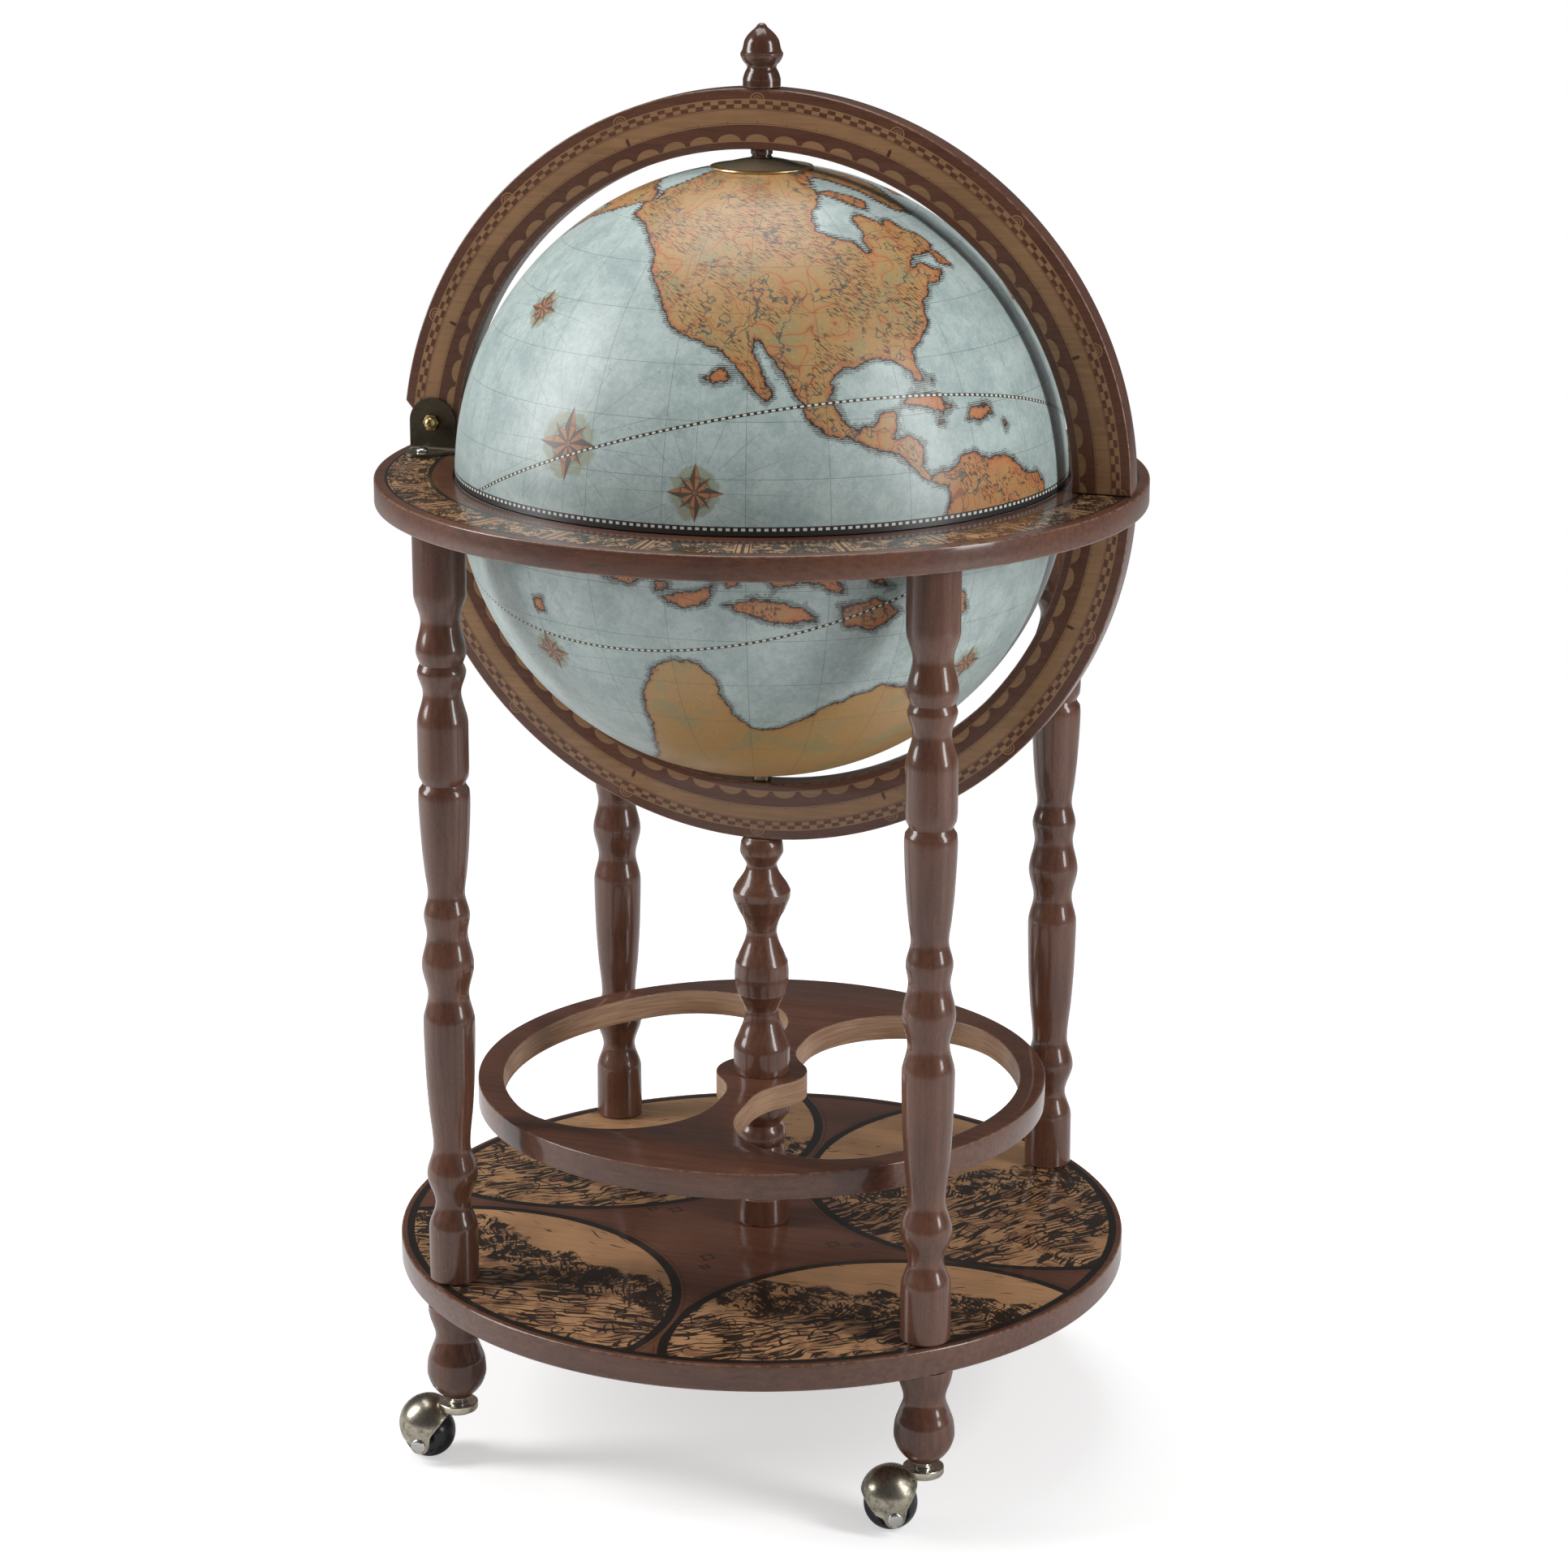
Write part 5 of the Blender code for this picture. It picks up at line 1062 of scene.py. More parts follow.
def lead_out(tree, geometry, finish):
    """Give the geometry its finish and lead it out of the node tree."""
    realize = tree.nodes.new("GeometryNodeRealizeInstances")
    paint = tree.nodes.new("GeometryNodeSetMaterial")
    leave = tree.nodes.new("NodeGroupOutput")
    tree.links.new(geometry, realize.inputs["Geometry"])
    tree.links.new(realize.outputs["Geometry"], paint.inputs["Geometry"])
    tree.links.new(finish, paint.inputs["Material"])
    tree.links.new(paint.outputs["Geometry"], leave.inputs["Geometry"])


def round_the_stand_tree():
    """A node tree that sets a turned piece out round the stand, once for each leg."""
    tree, names, entry = new_tree("Set out round the stand", {
        "count": ("Count", "Int", None),
        "radius": ("Radius", "Float", "DISTANCE"),
        "angle": ("First Angle", "Float", "ANGLE"),
        "finish": ("Finish", "Material", None),
    })
    ring = tree.nodes.new("GeometryNodeMeshCircle")
    axis = tree.nodes.new("ShaderNodeCombineXYZ")
    turn = tree.nodes.new("GeometryNodeTransform")
    copies = tree.nodes.new("GeometryNodeInstanceOnPoints")
    tree.links.new(entry.outputs["Count"], ring.inputs["Vertices"])
    tree.links.new(entry.outputs["Radius"], ring.inputs["Radius"])
    tree.links.new(entry.outputs["First Angle"], axis.inputs["Z"])
    tree.links.new(ring.outputs["Mesh"], turn.inputs["Geometry"])
    tree.links.new(axis.outputs["Vector"], turn.inputs["Rotation"])
    tree.links.new(turn.outputs["Geometry"], copies.inputs["Points"])
    tree.links.new(entry.outputs["Geometry"], copies.inputs["Instance"])
    lead_out(tree, copies.outputs["Instances"], entry.outputs["Finish"])
    return tree, names


def both_ends_tree():
    """A node tree that puts a rivet head on both ends of an axle that runs along Z."""
    tree, names, entry = new_tree("Both ends of the axle", {
        "reach": ("Reach", "Float", "DISTANCE"),
        "finish": ("Finish", "Material", None),
    })
    join = tree.nodes.new("GeometryNodeJoinGeometry")
    for side in (1.0, -1.0):
        length = tree.nodes.new("ShaderNodeMath")
        length.operation = "MULTIPLY"
        length.inputs[1].default_value = side
        shift = tree.nodes.new("ShaderNodeCombineXYZ")
        move = tree.nodes.new("GeometryNodeTransform")
        move.inputs["Rotation"].default_value = (0.0 if side > 0 else math.pi, 0.0, 0.0)
        tree.links.new(entry.outputs["Reach"], length.inputs[0])
        tree.links.new(length.outputs[0], shift.inputs["Z"])
        tree.links.new(shift.outputs["Vector"], move.inputs["Translation"])
        tree.links.new(entry.outputs["Geometry"], move.inputs["Geometry"])
        tree.links.new(move.outputs["Geometry"], join.inputs["Geometry"])
    lead_out(tree, join.outputs["Geometry"], entry.outputs["Finish"])
    return tree, names


TREES = {}


def through_tree(shape, tree_name, **values):
    """The plain mesh that a node tree makes of a shape."""
    if not TREES:
        TREES["round"] = round_the_stand_tree()
        TREES["ends"] = both_ends_tree()
    tree, sockets = TREES[tree_name]
    pattern = placed("pattern", mesh_of("pattern", shape))
    nodes = pattern.modifiers.new("nodes", "NODES")
    nodes.node_group = tree
    for name, value in values.items():
        nodes[sockets[name]] = value
    made = outcome(pattern)
    pattern.modifiers.remove(nodes)
    bpy.data.objects.remove(pattern)
    made.materials.clear()
    return made


def outline_arc(centre, radius, start, end, steps):
    """Points of an arc from one angle to another, in degrees."""
    points = []
    for step in range(steps + 1):
        angle = math.radians(start + (end - start) * step / steps)
        points.append((centre[0] + radius * math.cos(angle), centre[1] + radius * math.sin(angle)))
    return points


def circle(centre, radius, steps):
    """A full circle, as a loop of a board."""
    return outline_arc(centre, radius, 0, 360, steps)[:-1]


def domed(radius, rise, base, step, end):
    """Points (radius, height) down the side of a dome, every few degrees from its top."""
    angles = [math.radians(angle) for angle in range(step, end, step)]
    return [(radius * math.sin(angle), base + rise * math.cos(angle)) for angle in angles]


def board(loops, thickness, edge, matrix):
    """A board cut to flat loops, with rounded arrises, in its own XY plane about its middle."""
    curve = bpy.data.curves.new("board", "CURVE")
    curve.dimensions = "2D"
    curve.fill_mode = "BOTH"
    curve.extrude = thickness / 2 - edge
    curve.bevel_depth = edge
    curve.bevel_resolution = 2
    curve.offset = -edge
    for loop in loops:
        spline = curve.splines.new("POLY")
        spline.points.add(len(loop) - 1)
        for point, (across, along) in zip(spline.points, loop):
            point.co = (across, along, 0, 1)
        spline.use_cyclic_u = True
    cut_out = placed("board", curve)
    mesh = outcome(cut_out)
    bpy.data.objects.remove(cut_out)
    shape = bmesh.new()
    shape.from_mesh(mesh)
    bpy.data.meshes.remove(mesh)
    merged(shape)
    bmesh.ops.transform(shape, matrix=matrix, verts=shape.verts)
    return shape


def flat_board(node, loops, edge):
    """A board cut to loops that lies in the height of its solid."""
    low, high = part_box(node)
    return board(loops, high.z - low.z, edge, Matrix.Translation((0, 0, (high.z + low.z) / 2)))


def upright(x, z):
    """A place in the XZ plane, with its own Y up and its own Z to the front."""
    return Matrix.Translation((x, 0, z)) @ TO_THE_FRONT


def round_the_stand(name, shape, prefix):
    """Set a turned shape out at the corners of the stand, in place of the solids with this prefix."""
    corner = middle("leg_rear_right")
    radius = math.hypot(corner.x, corner.y)
    angle = math.atan2(1, 1)
    mesh = through_tree(
        shape, "round", count=len(CORNERS), radius=radius, angle=angle, finish=FINISHES["turned"]
    )
    piece_of_mesh(name, mesh, ["turned"], "stand", *[prefix + corner for corner in CORNERS])


def build_legs(sizes):
    """Four turned legs with a blind bore for their studs."""
    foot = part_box("leg_front_left")[0].z
    shape = turned_solid(
        LEG_SHAPE, sizes.turning_steps, foot, bore=ROD_BORE, spacing=2.2, bore_depth=0.0195
    )
    round_the_stand("turned_legs", shape, "leg_")


def build_feet(sizes):
    """Four turned feet."""
    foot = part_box("foot_front_left")[0].z
    shape = turned_solid(FOOT_SHAPE, sizes.turning_steps, foot, spacing=1.2)
    round_the_stand("turned_feet", shape, "foot_")


def build_column(sizes):
    """Both turned lengths of the centre column, bored for the rod."""
    for name, stations in (("column_upper", UPPER_COLUMN_SHAPE), ("column_lower", LOWER_COLUMN_SHAPE)):
        low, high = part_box(name)
        stretch = (high.z - low.z) * 1000 / stations[-1][0]
        fitted = [(station[0] * stretch, *station[1:]) for station in stations]
        shape = turned_solid(fitted, sizes.turning_steps, low.z, bore=ROD_BORE)
        piece("turned_" + name, shape, ["turned"], "stand", name)


def build_finial(sizes):
    """The acorn on the upper meridian, with a blind bore for the pole pin."""
    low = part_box("finial")[0].z
    shape = turned_solid(
        FINIAL_SHAPE, sizes.turning_steps, low, bore=PIN_BORE, spacing=0.7, bore_depth=0.0121
    )
    piece("acorn_finial", shape, ["finial"], "lid", "finial")


def paint_faces(shape, slot, test):
    """Give the faces that pass a test another finish of their piece."""
    for face in shape.faces:
        if test(face):
            face.material_index = slot


def build_base_shelf(sizes):
    """The round base board with its printed top."""
    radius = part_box("base_shelf")[1].x
    shape = flat_board("base_shelf", [circle((0, 0), radius, 192)], 1.6 * sizes.board_edge)
    paint_faces(shape, 1, lambda face: face.normal.z > 0.98)
    piece("base_board", shape, ["board", "base_print"], "stand", "base_shelf")


def corner_radius(rim, height, web):
    """Radius of a corner that touches both the rim and the web's side, with its centre at a height."""
    return (rim**2 - web**2 - height**2) / (2 * (rim + web))


def shelf_opening(rim):
    """The right-hand opening of the bottle shelf, as arcs that run into each other, in metres."""
    web, fillet, hub = 0.010, 0.050, 0.031
    wide_rise, deep_rise = 0.0142, 0.0266
    fillet_x = web + fillet
    fillet_y = math.sqrt((hub + fillet) ** 2 - fillet_x**2)
    hub_angle = math.degrees(math.atan2(fillet_y, fillet_x))
    wide_y = fillet_y + wide_rise
    wide = corner_radius(rim, wide_y, web)
    wide_angle = math.degrees(math.atan2(wide_y, web + wide))
    deep_y = fillet_y + deep_rise
    deep = corner_radius(rim, deep_y, web)
    deep_angle = math.degrees(math.atan2(deep_y, web + deep))
    outline = outline_arc((0, 0), rim, -deep_angle, wide_angle, 44)
    outline += outline_arc((web + wide, wide_y), wide, wide_angle, 180, 32)[1:]
    outline += outline_arc((fillet_x, fillet_y), fillet, 180, 180 + hub_angle, 16)
    outline += outline_arc((0, 0), hub, hub_angle, -hub_angle, 20)[1:]
    outline += outline_arc((fillet_x, -fillet_y), fillet, 180 - hub_angle, 180, 16)[1:]
    outline += outline_arc((web + deep, -deep_y), deep, 180, 360 - deep_angle, 32)[:-1]
    return outline


def build_bottle_shelf(sizes):
    """The S-shaped bottle board, whose openings show raw wood."""
    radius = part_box("bottle_shelf")[1].x
    rim_width = 0.0172
    opening = shelf_opening(radius - rim_width)
    other = [(-x, -y) for x, y in opening]
    loops = [circle((0, 0), radius, 160), opening, other, circle((0, 0), ROD_BORE, 24)]
    shape = flat_board("bottle_shelf", loops, 0.8 * sizes.board_edge)
    inside_rim = radius - 0.004

    def in_an_opening(face):
        centre = face.calc_center_median()
        return abs(face.normal.z) < 0.5 and math.hypot(centre.x, centre.y) < inside_rim

    paint_faces(shape, 1, in_an_opening)
    piece("bottle_shelf_board", shape, ["board", "raw"], "stand", "bottle_shelf")


def build_horizon_ring(sizes):
    """The flat ring with its printed top and a lip inside."""
    top, bottom, outer = 0.0, RING_LOW.z - RING_HIGH.z, RING_HIGH.x
    edge = 1.2 * sizes.board_edge
    mouth, seat, lip = GLOBE_RADIUS + 0.0015, GLOBE_RADIUS + GAP, -0.006
    upper = outline_arc((outer - edge, top - edge), edge, 90, 0, 4)
    lower = outline_arc((outer - edge, bottom + edge), edge, 0, -90, 4)
    outline = [(mouth, top)] + upper + lower + [(seat, bottom), (seat, lip), (mouth, lip)]
    slots = [1] + [0] * (len(outline) - 1)
    shape = bmesh.new()
    turn_outline(shape, outline, 240, GLOBE_CENTRE, closed=True, slots=slots)
    piece("horizon_board", merged(shape), ["board", "ring_print"], "stand", "horizon_ring")


def print_faces(shape):
    """Put the print on the front and the back of a meridian ring."""
    paint_faces(shape, 1, lambda face: abs(face.normal.y) > 0.98)


def build_meridians(sizes):
    """Both halves of the upright ring, the upper one with its heel and the hinge's hole."""
    inner = GLOBE_RADIUS + 0.010
    outer = UPPER_MERIDIAN_HIGH.x
    thickness = UPPER_MERIDIAN_HIGH.y - UPPER_MERIDIAN_LOW.y
    pin = middle("hinge_bolt")
    pin_x, pin_up = pin.x, pin.z - EQUATOR
    heel, heel_top = 0.012, 0.0341

    def lean(radius, height):
        return math.degrees(math.asin(height / radius))

    outline = outline_arc((0, 0), outer, lean(outer, GAP), 180 - lean(outer, heel_top), 150)
    outline += outline_arc((pin_x, pin_up), heel, 165, 270, 16)
    outline += outline_arc((0, 0), inner, 180 - lean(inner, pin_up - heel), lean(inner, GAP), 150)
    hole = circle((pin_x, pin_up), PIN_BORE, 24)
    shape = board([outline, hole], thickness, sizes.board_edge, upright(0, EQUATOR))
    print_faces(shape)
    piece("upper_meridian_board", shape, ["board", "meridian_print"], "lid", "upper_meridian")

    top = EQUATOR - LOWER_MERIDIAN_HIGH.z
    outline = outline_arc((0, 0), outer, -lean(outer, top), -180 + lean(outer, top), 150)
    outline += outline_arc((0, 0), inner, -180 + lean(inner, top), -lean(inner, top), 150)
    shape = board([outline], thickness, sizes.board_edge, upright(0, EQUATOR))
    print_faces(shape)
    piece("lower_meridian_board", shape, ["board", "meridian_print"], "stand", "lower_meridian")


def chart(mesh, turn):
    """Store how far each point is inside a coast, in millimetres, and the wash of its land."""
    count = len(mesh.vertices)
    points = np.empty(count * 3, np.float32)
    mesh.vertices.foreach_get("co", points)
    points = points.reshape(-1, 3).astype(np.float64) - np.array([0, 0, EQUATOR])
    points *= GLOBE_RADIUS * 1000 / np.linalg.norm(points, axis=1)[:, None]
    latitude = np.degrees(np.arcsin(np.clip(points[:, 2] / (GLOBE_RADIUS * 1000), -1, 1)))
    longitude = np.degrees(np.arctan2(points[:, 1], points[:, 0])) - turn

    def corner(place):
        return np.array(along_map(place[0], place[1], turn)) * GLOBE_RADIUS * 1000

    def to_line(start, end):
        span = end - start
        share = np.clip(((points - start) @ span) / (span @ span), 0, 1)
        away = points - start - share[:, None] * span
        return np.sqrt((away * away).sum(axis=1))

    def divided(line):
        """The line with a point at least every 5 degrees or so."""
        finer = []
        for start, end in zip(line, line[1:]):
            east, north = end[0] - start[0], end[1] - start[1]
            pieces = max(1, int(max(abs(east), abs(north)) / 5))
            for part in range(pieces):
                share = part / pieces
                finer.append((start[0] + east * share, start[1] + north * share))
        return finer + [line[-1]]

    coast = np.full(count, -1000.0)
    wash = np.zeros(count)
    for tint, outline in LANDS:
        ring = divided(list(outline) + [outline[0]])
        inside = np.zeros(count, bool)
        middle_longitude = (max(place[0] for place in ring) + min(place[0] for place in ring)) / 2
        own = (longitude - middle_longitude + 180) % 360 - 180 + middle_longitude
        distance = np.full(count, 1000.0)
        for start, end in zip(ring, ring[1:]):
            distance = np.minimum(distance, to_line(corner(start), corner(end)))
            if start[1] != end[1]:
                crossing = (start[1] > latitude) != (end[1] > latitude)
                at = start[0] + (latitude - start[1]) * (end[0] - start[0]) / (end[1] - start[1])
                inside ^= crossing & (own < at)
        signed = np.where(inside, distance, -distance)
        nearer = signed > coast
        wash = np.where(nearer, tint, wash)
        coast = np.maximum(coast, signed)
    for name, values in (("coast", coast), ("wash", wash)):
        layer = mesh.attributes.new(name, "FLOAT", "POINT")
        layer.data.foreach_set("value", values.astype(np.float32))


def half_globe(sizes, name, node, body, map_name, upper):
    """A thin half of the globe with its map outside, its lining inside and a black rim."""
    wall, rim = 0.0028, 0.0004
    rows, lining_rows = sizes.globe_steps // 4, 16
    map_slot, lining_slot, edge_slot = 0, 1, 2

    def side(radius, count):
        first = math.asin(PIN_BORE / radius)
        last = math.acos(rim / radius)
        angles = [first + (last - first) * row / count for row in range(count + 1)]
        return [(radius * math.sin(angle), radius * math.cos(angle)) for angle in angles]

    outline = side(GLOBE_RADIUS, rows) + side(GLOBE_RADIUS - wall, lining_rows)[::-1]
    slots = [map_slot] * rows + [edge_slot] + [lining_slot] * (lining_rows + 1)
    if not upper:
        outline = [(across, -height) for across, height in outline]
    shape = bmesh.new()
    turn_outline(shape, outline, sizes.globe_steps, GLOBE_CENTRE, closed=True, slots=slots)
    bmesh.ops.recalc_face_normals(shape, faces=shape.faces)
    made = piece(name, shape, [map_name, "lining", "black_edge"], body, node, crisp=50.0)
    chart(made.data, LID_TURN if upper else BOWL_TURN)


def build_globe(sizes):
    """The lid and the bowl."""
    half_globe(sizes, "lid_map_half", "upper_hemisphere", "lid_globe", "lid_map", True)
    half_globe(sizes, "bowl_map_half", "lower_hemisphere", "stand", "bowl_map", False)


def build_pole_plate():
    """A plate that follows the globe, with a raised crown in worn bronze and a bright brass rim."""
    under = GLOBE_RADIUS + GAP
    top = under + 0.0012
    crown, rim = 0.0285, 0.0330
    crown_rise, rim_width = 0.0024, 0.0030
    lip, lip_rise = rim + 0.0003, 0.0007
    steps = 24
    upper_side = []
    lower_side = []
    for step in range(steps + 1):
        across = PIN_BORE + (rim - PIN_BORE) * step / steps
        share = min(1.0, (across - PIN_BORE) / (crown - PIN_BORE))
        raised = crown_rise * (1 - share**2) ** 2
        upper_side.append((across, math.sqrt(top**2 - across**2) + raised))
        lower_side.append((across, math.sqrt(under**2 - across**2)))
    outline = upper_side + [(lip, math.sqrt(under**2 - lip**2) + lip_rise)] + lower_side[::-1]
    shape = bmesh.new()
    turn_outline(shape, outline, 96, GLOBE_CENTRE, closed=True)
    merged(shape)

    def on_the_rim(face):
        centre = face.calc_center_median()
        return math.hypot(centre.x, centre.y) > rim - rim_width

    paint_faces(shape, 1, on_the_rim)
    piece("pole_plate", shape, ["worn_bronze", "brass"], "lid_globe", "pole_cap", crisp=40.0)


def build_pole():
    """The plate on the pole, and the pins at both poles with their collars."""
    build_pole_plate()
    pin, collar, groove, spacer = 0.0029, 0.0070, 0.0062, 0.0060
    edge, fine_edge = 0.0004, 0.0001
    pin_top, pin_foot = 0.2602, 0.1905
    collar_high, collar_low = GLOBE_RADIUS + 0.0097, GLOBE_RADIUS + 0.0042
    outline = [
        (0, pin_top), (pin, pin_top), (pin, collar_high), (collar - edge, collar_high),
        (collar, collar_high - edge), (collar, 0.2064), (groove, 0.2058), (groove, 0.2050),
        (collar, 0.2044), (collar, collar_low + fine_edge), (collar - fine_edge, collar_low),
        (pin, collar_low), (pin, pin_foot), (0, pin_foot),
    ]
    turned_piece("pole_pin_turned", outline, GLOBE_CENTRE, "finial", "lid", "pole_pin")

    pin_top, pin_foot = -0.1905, -0.2215
    spacer_high, spacer_low = -0.2003, -0.2097
    outline = [
        (0, pin_top), (pin, pin_top), (pin, spacer_high), (spacer - edge, spacer_high),
        (spacer, spacer_high - edge), (spacer, spacer_low + edge), (spacer - edge, spacer_low),
        (pin, spacer_low), (pin, pin_foot), (0, pin_foot),
    ]
    turned_piece("bowl_pin_turned", outline, GLOBE_CENTRE, "bronze", "stand", "bowl_pin")


def cut(target, other, operation):
    """Join, share or cut one blank with another, and drop the other."""
    change = target.modifiers.new("cut", "BOOLEAN")
    change.operation = operation
    change.solver = "EXACT"
    change.object = other
    bpy.context.view_layer.update()
    mesh = bpy.data.meshes.new_from_object(target.evaluated_get(bpy.context.evaluated_depsgraph_get()))
    target.modifiers.remove(change)
    old = target.data
    target.data = mesh
    bpy.data.meshes.remove(old)
    bpy.data.objects.remove(other)


def blank(shape):
    """A plain object of a shape, to cut with."""
    bmesh.ops.recalc_face_normals(shape, faces=shape.faces)
    return placed("blank", mesh_of("blank", shape))


def turned_blank(outline, steps, matrix=None):
    """A plain turned object, to cut with."""
    shape = bmesh.new()
    turn_outline(shape, outline, steps, matrix)
    return blank(shape)


def rod_blank(radius, length, matrix):
    """A plain rod along its own Z, to cut with."""
    return turned_blank([(0, length), (radius, length), (radius, 0), (0, 0)], 32, matrix)


def shape_of(target):
    """The welded bmesh of a blank, which is dropped."""
    shape = bmesh.new()
    shape.from_mesh(target.data)
    bpy.data.objects.remove(target)
    bmesh.ops.remove_doubles(shape, verts=shape.verts, dist=0.000001)
    return shape


def rounded(shape, width, angle):
    """Round the arrises of a shape that turn by more than an angle in degrees."""
    limit = math.radians(angle)
    edges = [edge for edge in shape.edges if len(edge.link_faces) == 2 and edge.calc_face_angle() > limit]
    bmesh.ops.bevel(
        shape, geom=edges, offset=width, segments=1, profile=0.5, affect="EDGES", clamp_overlap=True
    )
    return shape


def build_bracket_plate(name, side):
    """A bent plate of the hinge: a folded strip cut to its front view and its top view."""
    node = "hinge_bracket_" + name
    pin = middle("hinge_bolt")
    screw = middle("bracket_screw_" + name)
    low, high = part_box(node)
    half = (high.x - low.x) / 2
    centre_x = (high.x + low.x) / 2
    near = min(abs(low.y), abs(high.y))
    far = max(abs(low.y), abs(high.y))
    bottom = low.z
    thickness, bend, spare = 0.002, 0.004, 0.01
    fold = (near + bend, bottom + bend)
    section = [(near, high.z + spare)] + outline_arc(fold, bend, 180, 270, 10)
    section += [(far + spare, bottom), (far + spare, bottom + thickness)]
    section += outline_arc(fold, bend - thickness, 270, 180, 10) + [(near + thickness, high.z + spare)]
    section = [(side * y, z) for y, z in section]
    lengthwise = Matrix.Rotation(math.radians(90), 4, "Z") @ TO_THE_FRONT
    plate = blank(board([section], 3 * half, 0.0, Matrix.Translation((centre_x, 0, 0)) @ lengthwise))

    wide = 0.2
    front_view = outline_arc((centre_x, pin.z), half, 0, 180, 40)
    front_view += [(centre_x - half, bottom - spare), (centre_x + half, bottom - spare)]
    cut(plate, blank(board([front_view], wide, 0.0, upright(0, 0))), "INTERSECT")

    start = near + thickness
    depth = far - start
    tongue = [(-half * 1.2, 0), (-half * 1.2, start), (-half * 0.999, start + 0.3 * depth)]
    tongue += [(across * half, start + away * depth) for across, away in FLANGE_SHAPE]
    tongue += [(half * 1.2, start), (half * 1.2, 0)]
    top_view = [(centre_x + x, side * y) for x, y in tongue]
    cut(plate, blank(board([top_view], wide, 0.0, Matrix.Translation((0, 0, pin.z)))), "INTERSECT")

    through = upright(pin.x, pin.z) @ Matrix.Translation((0, 0, -0.05))
    cut(plate, rod_blank(PIN_BORE, 0.1, through), "DIFFERENCE")
    down = Matrix.Translation((screw.x, screw.y, bottom - spare))
    cut(plate, rod_blank(0.0022, 2 * spare, down), "DIFFERENCE")
    shape = rounded(shape_of(plate), 0.00035, 50.0)
    flange_top = bottom + 2 * thickness

    # The flange's upward faces take the paler old brass as a painted reflection; the bend stays dark bronze
    def flange_top_painted_glint(face):
        return face.normal.z > 0.97 and face.calc_center_median().z < flange_top

    paint_faces(shape, 1, flange_top_painted_glint)
    piece("bracket_plate_" + name, shape, ["bronze", "old_brass"], "stand", node, crisp=35.0)


def build_bracket_screw(name):
    """A pan head screw with a cross slot."""
    node = "bracket_screw_" + name
    low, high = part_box(node)
    centre = middle(node)
    head = high.z - 0.0024
    radius, shank = 0.0043, 0.0019
    outline = [(0, high.z)] + domed(0.98 * radius, 0.0018, head + 0.0006, 15, 90)
    outline += [(radius, head + 0.0007), (radius, head + 0.0002), (radius - 0.0003, head), (shank, head)]
    outline += [(shank, low.z + 0.002), (0, low.z)]
    screw = turned_blank(outline, 40, Matrix.Translation((centre.x, centre.y, 0)))
    slot_size = Matrix.Diagonal((0.0042, 0.0008, 0.0022, 1))
    for turn in (25, 115):
        turned = Matrix.Rotation(math.radians(turn), 4, "Z")
        place = Matrix.Translation((centre.x, centre.y, high.z)) @ turned
        slot = bmesh.new()
        bmesh.ops.create_cube(slot, size=1.0, matrix=place @ slot_size)
        cut(screw, blank(slot), "DIFFERENCE")
    piece("bracket_screw_turned_" + name, shape_of(screw), ["steel"], "stand", node)


def build_hinge():
    """Both bent plates, their screws, the bolt and its cap nut."""
    for name, side in (("front", -1), ("rear", 1)):
        build_bracket_plate(name, side)
    for name in ("front", "rear"):
        build_bracket_screw(name)

    pin = middle("hinge_bolt")
    pin_place = upright(pin.x, pin.z)
    seat = -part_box("hinge_cap_nut")[1].y
    nut_height = 0.0032
    hexagon = circle((0, 0), 0.0055, 6)
    nut_place = pin_place @ Matrix.Translation((0, 0, seat + nut_height / 2))
    nut = blank(board([hexagon], nut_height, 0.00025, nut_place))
    cap_radius, cap_rise = 0.0044, 0.0046
    dome = [(0, cap_rise)] + domed(cap_radius, cap_rise, 0, 10, 91) + [(0, 0)]
    cap = turned_blank(dome, 48, pin_place @ Matrix.Translation((0, 0, seat + 0.0030)))
    cut(nut, cap, "UNION")
    drilled = pin_place @ Matrix.Translation((0, 0, seat - 0.0005))
    cut(nut, rod_blank(PIN_BORE, 0.004, drilled), "DIFFERENCE")
    piece("cap_nut", shape_of(nut), ["brass"], "stand", "hinge_cap_nut")

    low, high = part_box("hinge_bolt")
    shank, head, head_height = 0.003, 0.0055, 0.003
    head_seat = -(high.y - head_height)
    outline = [
        (0, -low.y), (shank, -low.y), (shank, head_seat), (head, head_seat), (head, head_seat - 0.0014),
        (0.0048, head_seat - 0.0024), (shank, head_seat - head_height), (0, head_seat - head_height),
    ]
    turned_piece("hinge_bolt_turned", outline, pin_place, "brass", "stand", "hinge_bolt")


def build_tray(sizes):
    """The glass tray with its well and six holes, and the floor of the well."""
    well, glass_circle, glass = 0.072, 0.138, 0.029
    loops = [circle((0, 0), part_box("glass_tray")[1].x, 160), circle((0, 0), well, 96)]
    for hole in range(6):
        angle = math.radians(60 * hole + 30)
        loops.append(circle((glass_circle * math.cos(angle), glass_circle * math.sin(angle)), glass, 56))
    shape = flat_board("glass_tray", loops, 1.1 * sizes.board_edge)
    piece("glass_tray_board", shape, ["board"], "stand", "glass_tray")
    loops = [circle((0, 0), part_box("bottle_floor")[1].x, 128)]
    shape = flat_board("bottle_floor", loops, 0.8 * sizes.board_edge)
    piece("bottle_floor_board", shape, ["board"], "stand", "bottle_floor")


def caster_frames(corner):
    """The wheel's place with X along the trail, the axle's place with Z along it, and the trail."""
    stem = middle("caster_stem_" + corner)
    wheel = middle("caster_wheel_" + corner)
    heading = math.atan2(wheel.y - stem.y, wheel.x - stem.x)
    wheel_place = Matrix.Translation(wheel) @ Matrix.Rotation(heading, 4, "Z")
    axle_place = wheel_place @ WHEEL_LEAN @ Matrix.Rotation(math.radians(-90), 4, "X")
    return wheel_place, axle_place, math.hypot(wheel.x - stem.x, wheel.y - stem.y)


